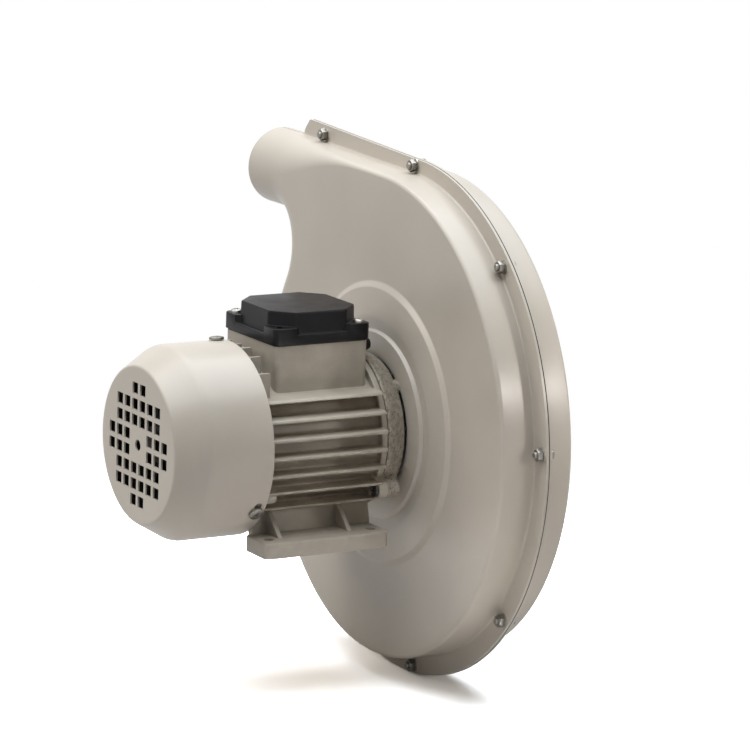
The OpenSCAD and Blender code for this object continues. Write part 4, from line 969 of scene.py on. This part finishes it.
def flank_curve():
    """Right flank from the top of the barrel to its bottom as (height, distance past the barrel). Each fin is
    the same rounded path of (past, across), stretched so that its tip lies on the tip circle."""
    rise = FIN_R - BARREL_R
    path = [(0, FIN_VALLEY), (0, FIN_ROOT), (rise, FIN_TIP), (rise, -FIN_TIP), (0, -FIN_ROOT),
            (0, -FIN_VALLEY)]
    fin = step_rings(path, FIN_ROUNDINGS, steps=8)
    heights = FIN_TOP - FIN_PITCH * np.arange(FIN_COUNT)
    tip = np.sqrt(FIN_R ** 2 - heights ** 2) - np.sqrt(BARREL_R ** 2 - heights ** 2)
    past = fin[None, :, 0] * (tip / rise)[:, None]
    across = heights[:, None] + fin[None, :, 1]
    crown = BARREL_R * np.sin(np.radians(CROWN_TURNS))
    keel = BARREL_R * np.sin(np.radians(KEEL_TURNS))
    height = np.concatenate([crown, across.ravel(), keel])
    beyond = np.concatenate([np.zeros(len(crown)), past.ravel(), np.zeros(len(keel))])
    return np.clip(height, -BARREL_R, BARREL_R), beyond


def flank(side):
    """Both ends and the length of one flank: x = side (sqrt(R^2 - z^2) + past), carried along the shaft. The
    ends are capped by rows in which past shrinks to nothing."""
    height, past = flank_curve()
    from_end, end_shares = FIN_END.T
    stations = np.concatenate([FIN_BACK + from_end, FIN_MIDDLE[:, 0], FIN_FRONT - from_end[::-1]])
    shares = np.concatenate([end_shares, FIN_MIDDLE[:, 1], end_shares[::-1]])
    x = side * (np.sqrt(BARREL_R ** 2 - height ** 2)[None] + past[None] * shares[:, None])
    y = np.broadcast_to(stations[:, None], x.shape)
    z = np.broadcast_to(SHAFT_Z + height[None], x.shape)
    table = np.stack([x, y, z], -1)
    return table, grid_faces(*table.shape[:2], flip=side > 0)


# %% Feet
FOOT_IN = 36.6
FOOT_W = 31.4
FOOT_LEN = 97.0
FOOT_T = 11.0
FOOT_CUT = 3.0
FOOT_ROUND = 1.6
FOOT_EDGE = 1.3
FOOT_HOLE = (56.0, 40.0)
FOOT_HOLE_R = 3.5
FOOT_HOLE_POINTS = 32


def foot(side):
    """A soft block whose top and bottom are punched with two holes, and the walls of the holes."""
    middle = side * (FOOT_IN + FOOT_W / 2)
    shape = outline(FOOT_W, FOOT_LEN, FOOT_CUT, FOOT_ROUND) + (middle, 0)
    rings = soft_rings(shape, 0, FOOT_T, FOOT_EDGE)
    tables = [(rings, grid_faces(*rings.shape[:2], wrap_cols=True, flip=True))]
    hole_x, hole_y = FOOT_HOLE
    holes = [circle(FOOT_HOLE_R, FOOT_HOLE_POINTS, (side * hole_x, y)) for y in (-hole_y, hole_y)]
    for ring, up in ((rings[0], False), (rings[-1], True)):
        points, faces = punched([ring[:, :2], *holes])
        tables.append((at_height(points, ring[0, 2]), faces if up else faces[:, ::-1]))
    for hole in holes:
        wall = np.stack([at_height(hole, height) for height in (0.0, FOOT_T)])
        tables.append((wall, grid_faces(*wall.shape[:2], wrap_cols=True)))
    return tables


# %% Ribs and bosses
SIDE_SHARES = np.linspace(0.06, 0.94, 8)
UPRIGHT_HALF = 1.4
BOSS_R = 6.0
BOSS_POINTS = 48
BOSS_EDGE = 0.7
BOSS_FOOT = 46.0
BOSS_RIB_HALF = 5.0
BOSS_RIB_IN = 0.1
BOSS_RIB_EDGE = 0.4


def rib(points, y0, y1, side=1, edge=0.8):
    """A soft block from a convex polygon of (x, height over the shaft), carried along the shaft. The polygon
    is drawn anticlockwise, and side -1 mirrors it. Each of its sides has points at SIDE_SHARES of it."""
    shape = np.asarray(points, float) * (side, 1)
    shape = shape[::side]
    sides = shape[:, None] + (np.roll(shape, -1, 0) - shape)[:, None] * SIDE_SHARES[None, :, None]
    return soft_block(sides.reshape(-1, 2), y0, y1, edge, lengthwise)


def upright_fin(x, low, high, y1):
    """A rib at x between two heights over the shaft, from the back of the fins to y1."""
    left = x - UPRIGHT_HALF
    right = x + UPRIGHT_HALF
    return rib([(left, low), (right, low), (right, high), (left, high)], FIN_BACK, y1)


def boss(turn, radius, y0, y1):
    """A round boss on a circle about the shaft, with the rib that carries it."""
    way = direction(turn)
    half = np.array([-way[1], way[0]]) * BOSS_RIB_HALF
    corners = [way * BOSS_FOOT - half, way * radius - half, way * radius + half, way * BOSS_FOOT + half]
    post = soft_block(circle(BOSS_R, BOSS_POINTS, way * radius), y0, y1, BOSS_EDGE, lengthwise)
    return [post, rib(corners, y0 + BOSS_RIB_IN, y1 - BOSS_RIB_IN, edge=BOSS_RIB_EDGE)]


# %% The whole frame
BARREL_BORE_R = 47.5
BARREL_SKIN_R = 50.9
BARREL_BACK = -46.0
BARREL_FRONT = 52.0
COLLAR_R = 55.5
COLLAR_BACK = 47.5
BARREL_ROUNDINGS = [0.3, 0.8, 1.5, 0.9, 0.9]
FOOT_WEB = [(25.5, -40.8), (33, -63), (40, -63), (40, -60), (34.5, -39)]
GUSSET = [(30, -41), (37.5, -61), (57, -61), (57, -60), (39, -43.5)]
GUSSET_HALF = 1.6
GUSSET_EDGE = 0.5
GUSSET_STATIONS = (-31.04, 23.28)
UPRIGHT_PITCH = 14.0
KEEL_FIN = (-61.3, -46)
TOP_FIN_LOW = 22.0
TOP_FIN_HIGH = 65.0
TOP_FIN_CROWN = 68.04
TOP_FIN_END = -34.75
# Turns of the three bosses that carry the endshield, each with the station where its screw's head sits.
TIE_SEATS = {90.0: 48.5, -33.0: 45.5, 213.0: 45.5}
TIE_R = 62.0
REAR_TIE_R = 57.0
REAR_TIE_LEN = 10.0

barrel = turned(step_rings(
    [(BARREL_BORE_R, BARREL_FRONT), (BARREL_BORE_R, BARREL_BACK), (BARREL_SKIN_R, BARREL_BACK),
     (BARREL_SKIN_R, COLLAR_BACK), (COLLAR_R, COLLAR_BACK), (COLLAR_R, BARREL_FRONT),
     (BARREL_BORE_R, BARREL_FRONT)], BARREL_ROUNDINGS))
frame_tables = [flank(1), flank(-1), (barrel, grid_faces(*barrel.shape[:2], wrap_rows=True, flip=True))]
for side in (1, -1):
    frame_tables += foot(side)
    frame_tables.append(rib(FOOT_WEB, FIN_BACK, FIN_FRONT, side))
    for middle in GUSSET_STATIONS:
        frame_tables.append(rib(GUSSET, middle - GUSSET_HALF, middle + GUSSET_HALF, side, GUSSET_EDGE))
for k in (-1, 0, 1):
    frame_tables.append(upright_fin(k * UPRIGHT_PITCH, *KEEL_FIN, FIN_FRONT))
for k in range(-3, 4):
    x = k * UPRIGHT_PITCH
    crown = min(TOP_FIN_HIGH, math.sqrt(TOP_FIN_CROWN ** 2 - (abs(x) + UPRIGHT_HALF) ** 2))
    frame_tables.append(upright_fin(x, TOP_FIN_LOW, crown, TOP_FIN_END))
for turn, seat in TIE_SEATS.items():
    frame_tables += boss(turn, TIE_R, seat, BARREL_FRONT)
    frame_tables += boss(turn, REAR_TIE_R, FIN_BACK, FIN_BACK + REAR_TIE_LEN)
make_piece("finned_frame", frame_tables, casting_paint, "housing", ("motor_frame",),
           merge=0.004)

# %% [markdown]
# ## Fasteners
# The cowl and the lid are held by cross-recessed pan head screws, and the casing by hexagon bolts with plain
# nuts. A head is a polar grid: the distance from its axis and the turn round it. The cross recess lowers the
# grid where it lies in one of two crossed slots, and a hexagon is a grid whose radius depends on the turn.
# Threads that show past a nut are rings of a wavy profile. Most sizes of a head are shares of the shank's
# radius, so one function serves screws of any size.

# %% Polar grids
HEAD_STEPS = 72


def polar(radii, heights, flats=None):
    """Rows go round and columns along a profile. With flats, each ring wider than the flats is cut by the six
    sides of a hexagon: r = min(r, flats / 2 / cos(a)), where a is the turn from the middle of a side."""
    turn = np.linspace(0, 2 * math.pi, HEAD_STEPS, endpoint=False)[:, None]
    radius = np.broadcast_to(np.asarray(radii, float)[None], (HEAD_STEPS, len(radii)))
    if flats:
        side = np.mod(turn + math.pi / 6, math.pi / 3) - math.pi / 6
        radius = np.minimum(radius, flats / 2 / np.cos(side))
    height = np.broadcast_to(np.asarray(heights, float)[None], radius.shape)
    return np.stack([radius * np.cos(turn), radius * np.sin(turn), height], -1)


# %% Pan head screws
HEAD_H = 1.2
HEAD_SHARE = 1.95
HEAD_POINTS = 22
CROWN_SHARE = 0.97
CROWN_DROP = 0.35
CROWN_POWER = 2.4
RIM_SHARE = 0.55
SLOT_HALF = 0.26
SLOT_REACH = 1.05
SLOT_DEPTH = 0.75
SIDE_SLOPE = 0.14
END_SLOPE = 0.2


def slot_share(across, along):
    """1 inside a slot of the cross recess and 0 outside it, with a straight slope at its sides and ends."""
    sides = np.clip((SLOT_HALF - across) / SIDE_SLOPE + 0.5, 0, 1)
    ends = np.clip((SLOT_REACH - along) / END_SLOPE + 0.5, 0, 1)
    return sides * ends


def cross_screw(shank_r, length, head_share=HEAD_SHARE):
    """A pan head screw: head to +Z, seat at 0. The crown is 1 - drop r^power, and the recess sinks it where
    the point lies within one of two crossed slots. head_share is the head's radius over the shank's."""
    head_r = shank_r * head_share
    head_h = shank_r * HEAD_H
    share = np.linspace(0, 1, HEAD_POINTS)
    crown = head_h * (1 - CROWN_DROP * share ** CROWN_POWER)
    radii = np.concatenate([share * head_r * CROWN_SHARE, [head_r, head_r, shank_r, shank_r, 0]])
    heights = np.concatenate([crown, [head_h * RIM_SHARE, 0, 0, -length, -length]])
    table = polar(radii, heights)
    u = np.abs(table[:, :HEAD_POINTS, 0]) / shank_r
    v = np.abs(table[:, :HEAD_POINTS, 1]) / shank_r
    table[:, :HEAD_POINTS, 2] -= shank_r * SLOT_DEPTH * np.maximum(slot_share(u, v), slot_share(v, u))
    return table


# %% Hexagon bolts and nuts
HEX_FLATS = 3.2
BOLT_HEAD_H = 1.4
NUT_H = 1.6
HEAD_FACE = 0.46
NUT_FACE = 0.47
HEAD_BEVEL = 0.8
NUT_BEVEL = 0.7
NUT_SINK = 0.5
THREAD_LEN = 9.0
THREAD_GAP = 0.2
THREAD_PITCH = 0.8
THREAD_WAVE = 0.12
THREAD_BEVEL = (0.6, 0.5)


def thread(shank_r, low, high):
    """Radii and heights of a wavy shank from high to low: r + w (cos(2 pi h / pitch) - 1), with a bevelled
    end at low."""
    heights = np.arange(low + THREAD_BEVEL[1], high, THREAD_PITCH / 4)
    radii = shank_r - THREAD_WAVE + THREAD_WAVE * np.cos((heights - low) * 2 * math.pi / THREAD_PITCH)
    return np.concatenate([[shank_r - THREAD_BEVEL[0]], radii])[::-1], np.concatenate([[low], heights])[::-1]


def hex_bolt(shank_r, length):
    """A hexagon bolt: head to +Z with a turned bevel on its corners, seat at 0, thread at the far end."""
    flats = shank_r * HEX_FLATS
    head_h = shank_r * BOLT_HEAD_H
    corner = flats / math.sqrt(3)
    low_r, low_h = thread(shank_r, -length, THREAD_LEN - length)
    radii = np.concatenate([[0, flats * HEAD_FACE, corner, corner, shank_r, shank_r], low_r, [0]])
    plain_end = THREAD_LEN + THREAD_GAP - length
    heights = np.concatenate([[head_h, head_h, head_h - HEAD_BEVEL, 0, 0, plain_end], low_h, [-length]])
    return polar(radii, heights, flats=flats)


def hex_nut(shank_r):
    """A hexagon nut on the plane 0, bevelled on both sides, with a countersunk bore."""
    flats = shank_r * HEX_FLATS
    tall = shank_r * NUT_H
    corner = flats / math.sqrt(3)
    face_r = flats * NUT_FACE
    radii = [shank_r, shank_r + NUT_SINK, face_r, corner, corner, face_r, shank_r]
    heights = [tall - NUT_SINK, tall, tall, tall - NUT_BEVEL, NUT_BEVEL, 0, 0]
    return polar(radii, heights, flats=flats)


# %% Placing fasteners
def placed(table, origin, axis):
    """Moves a table so that its +Z lies along axis and its origin at origin."""
    axis = np.asarray(axis, float) / np.linalg.norm(axis)
    helper = np.array([0.0, 0, 1]) if abs(axis[2]) < 0.9 else np.array([0.0, 1, 0])
    u = np.cross(helper, axis)
    u = u / np.linalg.norm(u)
    v = np.cross(axis, u)
    return table @ np.stack([u, v, axis]) + np.asarray(origin, float)


def fastener_set(name, table, places, replaced, metal=zinc_plate):
    """One piece from copies of a table at (origin, axis) places."""
    faces = grid_faces(*table.shape[:2], wrap_rows=True, flip=True)
    tables = [(placed(table, origin, axis), faces) for origin, axis in places]
    make_piece(name, tables, metal, "housing", (replaced,), crease=30, merge=0.002)


def plan(point, y):
    """A plan point (x, height over the shaft) at a station along the shaft."""
    return np.array([point[0], y, SHAFT_Z + point[1]])


# %% Screws of the cowl, the lid and the endshield
COWL_SCREW_LEN = 9.0
COWL_HEAD_SHARE = 2.6
COWL_HEAD_GAP = 0.5
LID_SCREW_R = 2.0
LID_SCREW_LEN = 20.3
TIE_SCREW_R = 2.5
TIE_SCREW_LEN = 10.0

cowl_places = []
for turn in COWL_SCREWS:
    way = direction(turn)
    cowl_places.append((plan(way * (COWL_R + COWL_HEAD_GAP), COWL_SCREW_Y), (way[0], 0, way[1])))
cowl_screw = cross_screw(COWL_SCREW_R, COWL_SCREW_LEN, COWL_HEAD_SHARE)
fastener_set("cowl_cross_screws", cowl_screw, cowl_places, "cowl_screws", dull_zinc)
lid_places = []
for side in (-1, 1):
    lid_places.append(((side * LID_SCREW, BOX_Y + side * LID_SCREW, LID_LOW + LID_RIM), (0, 0, 1)))
fastener_set("lid_cross_screws", cross_screw(LID_SCREW_R, LID_SCREW_LEN), lid_places, "lid_screws")
tie_places = [(plan(direction(turn) * TIE_R, seat), (0, -1, 0)) for turn, seat in TIE_SEATS.items()]
tie_screw = cross_screw(TIE_SCREW_R, TIE_SCREW_LEN)
fastener_set("endshield_cross_screws", tie_screw, tie_places, "front_shield_bolts", dark_steel)

# %% Bolts of the casing and screws of the inlet's guard
BOLT_R = 2.5
BOLT_LEN = 10.9
BOLT_RING_R = 175.0
RING_TURNS = range(48, -173, -44)
RUN_BOLTS = [(-2.66, 181.47), (-130.16, 185.28)]
TONGUE_BOLT_IN = 0.37
TONGUE_BOLT_TURN = 40
WASHER_T = 1.0
GUARD_SCREW_LEN = 8.8
GUARD_RING_R = 70.0
GUARD_Y = 134.5
GUARD_TURNS = range(45, 360, 90)

tongue_bolt = tongue + (TONGUE_R - FLANGE_W * TONGUE_BOLT_IN) * direction(TONGUE_BOLT_TURN)
bolt_points = [BOLT_RING_R * direction(turn) for turn in RING_TURNS] + RUN_BOLTS + [tongue_bolt]
bolt_places = [(plan(p, SPLIT_Y + GASKET / 2 + SHEET), (0, 1, 0)) for p in bolt_points]
nut_places = [(plan(p, SPLIT_Y - GASKET / 2 - SHEET - WASHER_T), (0, -1, 0)) for p in bolt_points]
fastener_set("casing_hex_bolts", hex_bolt(BOLT_R, BOLT_LEN), bolt_places, "scroll_bolts", dull_zinc)
fastener_set("casing_hex_nuts", hex_nut(BOLT_R), nut_places, "scroll_nuts", dull_zinc)
guard_places = [(plan(GUARD_RING_R * direction(turn), GUARD_Y), (0, 1, 0)) for turn in GUARD_TURNS]
fastener_set("guard_cross_screws", cross_screw(BOLT_R, GUARD_SCREW_LEN), guard_places, "inlet_screws")
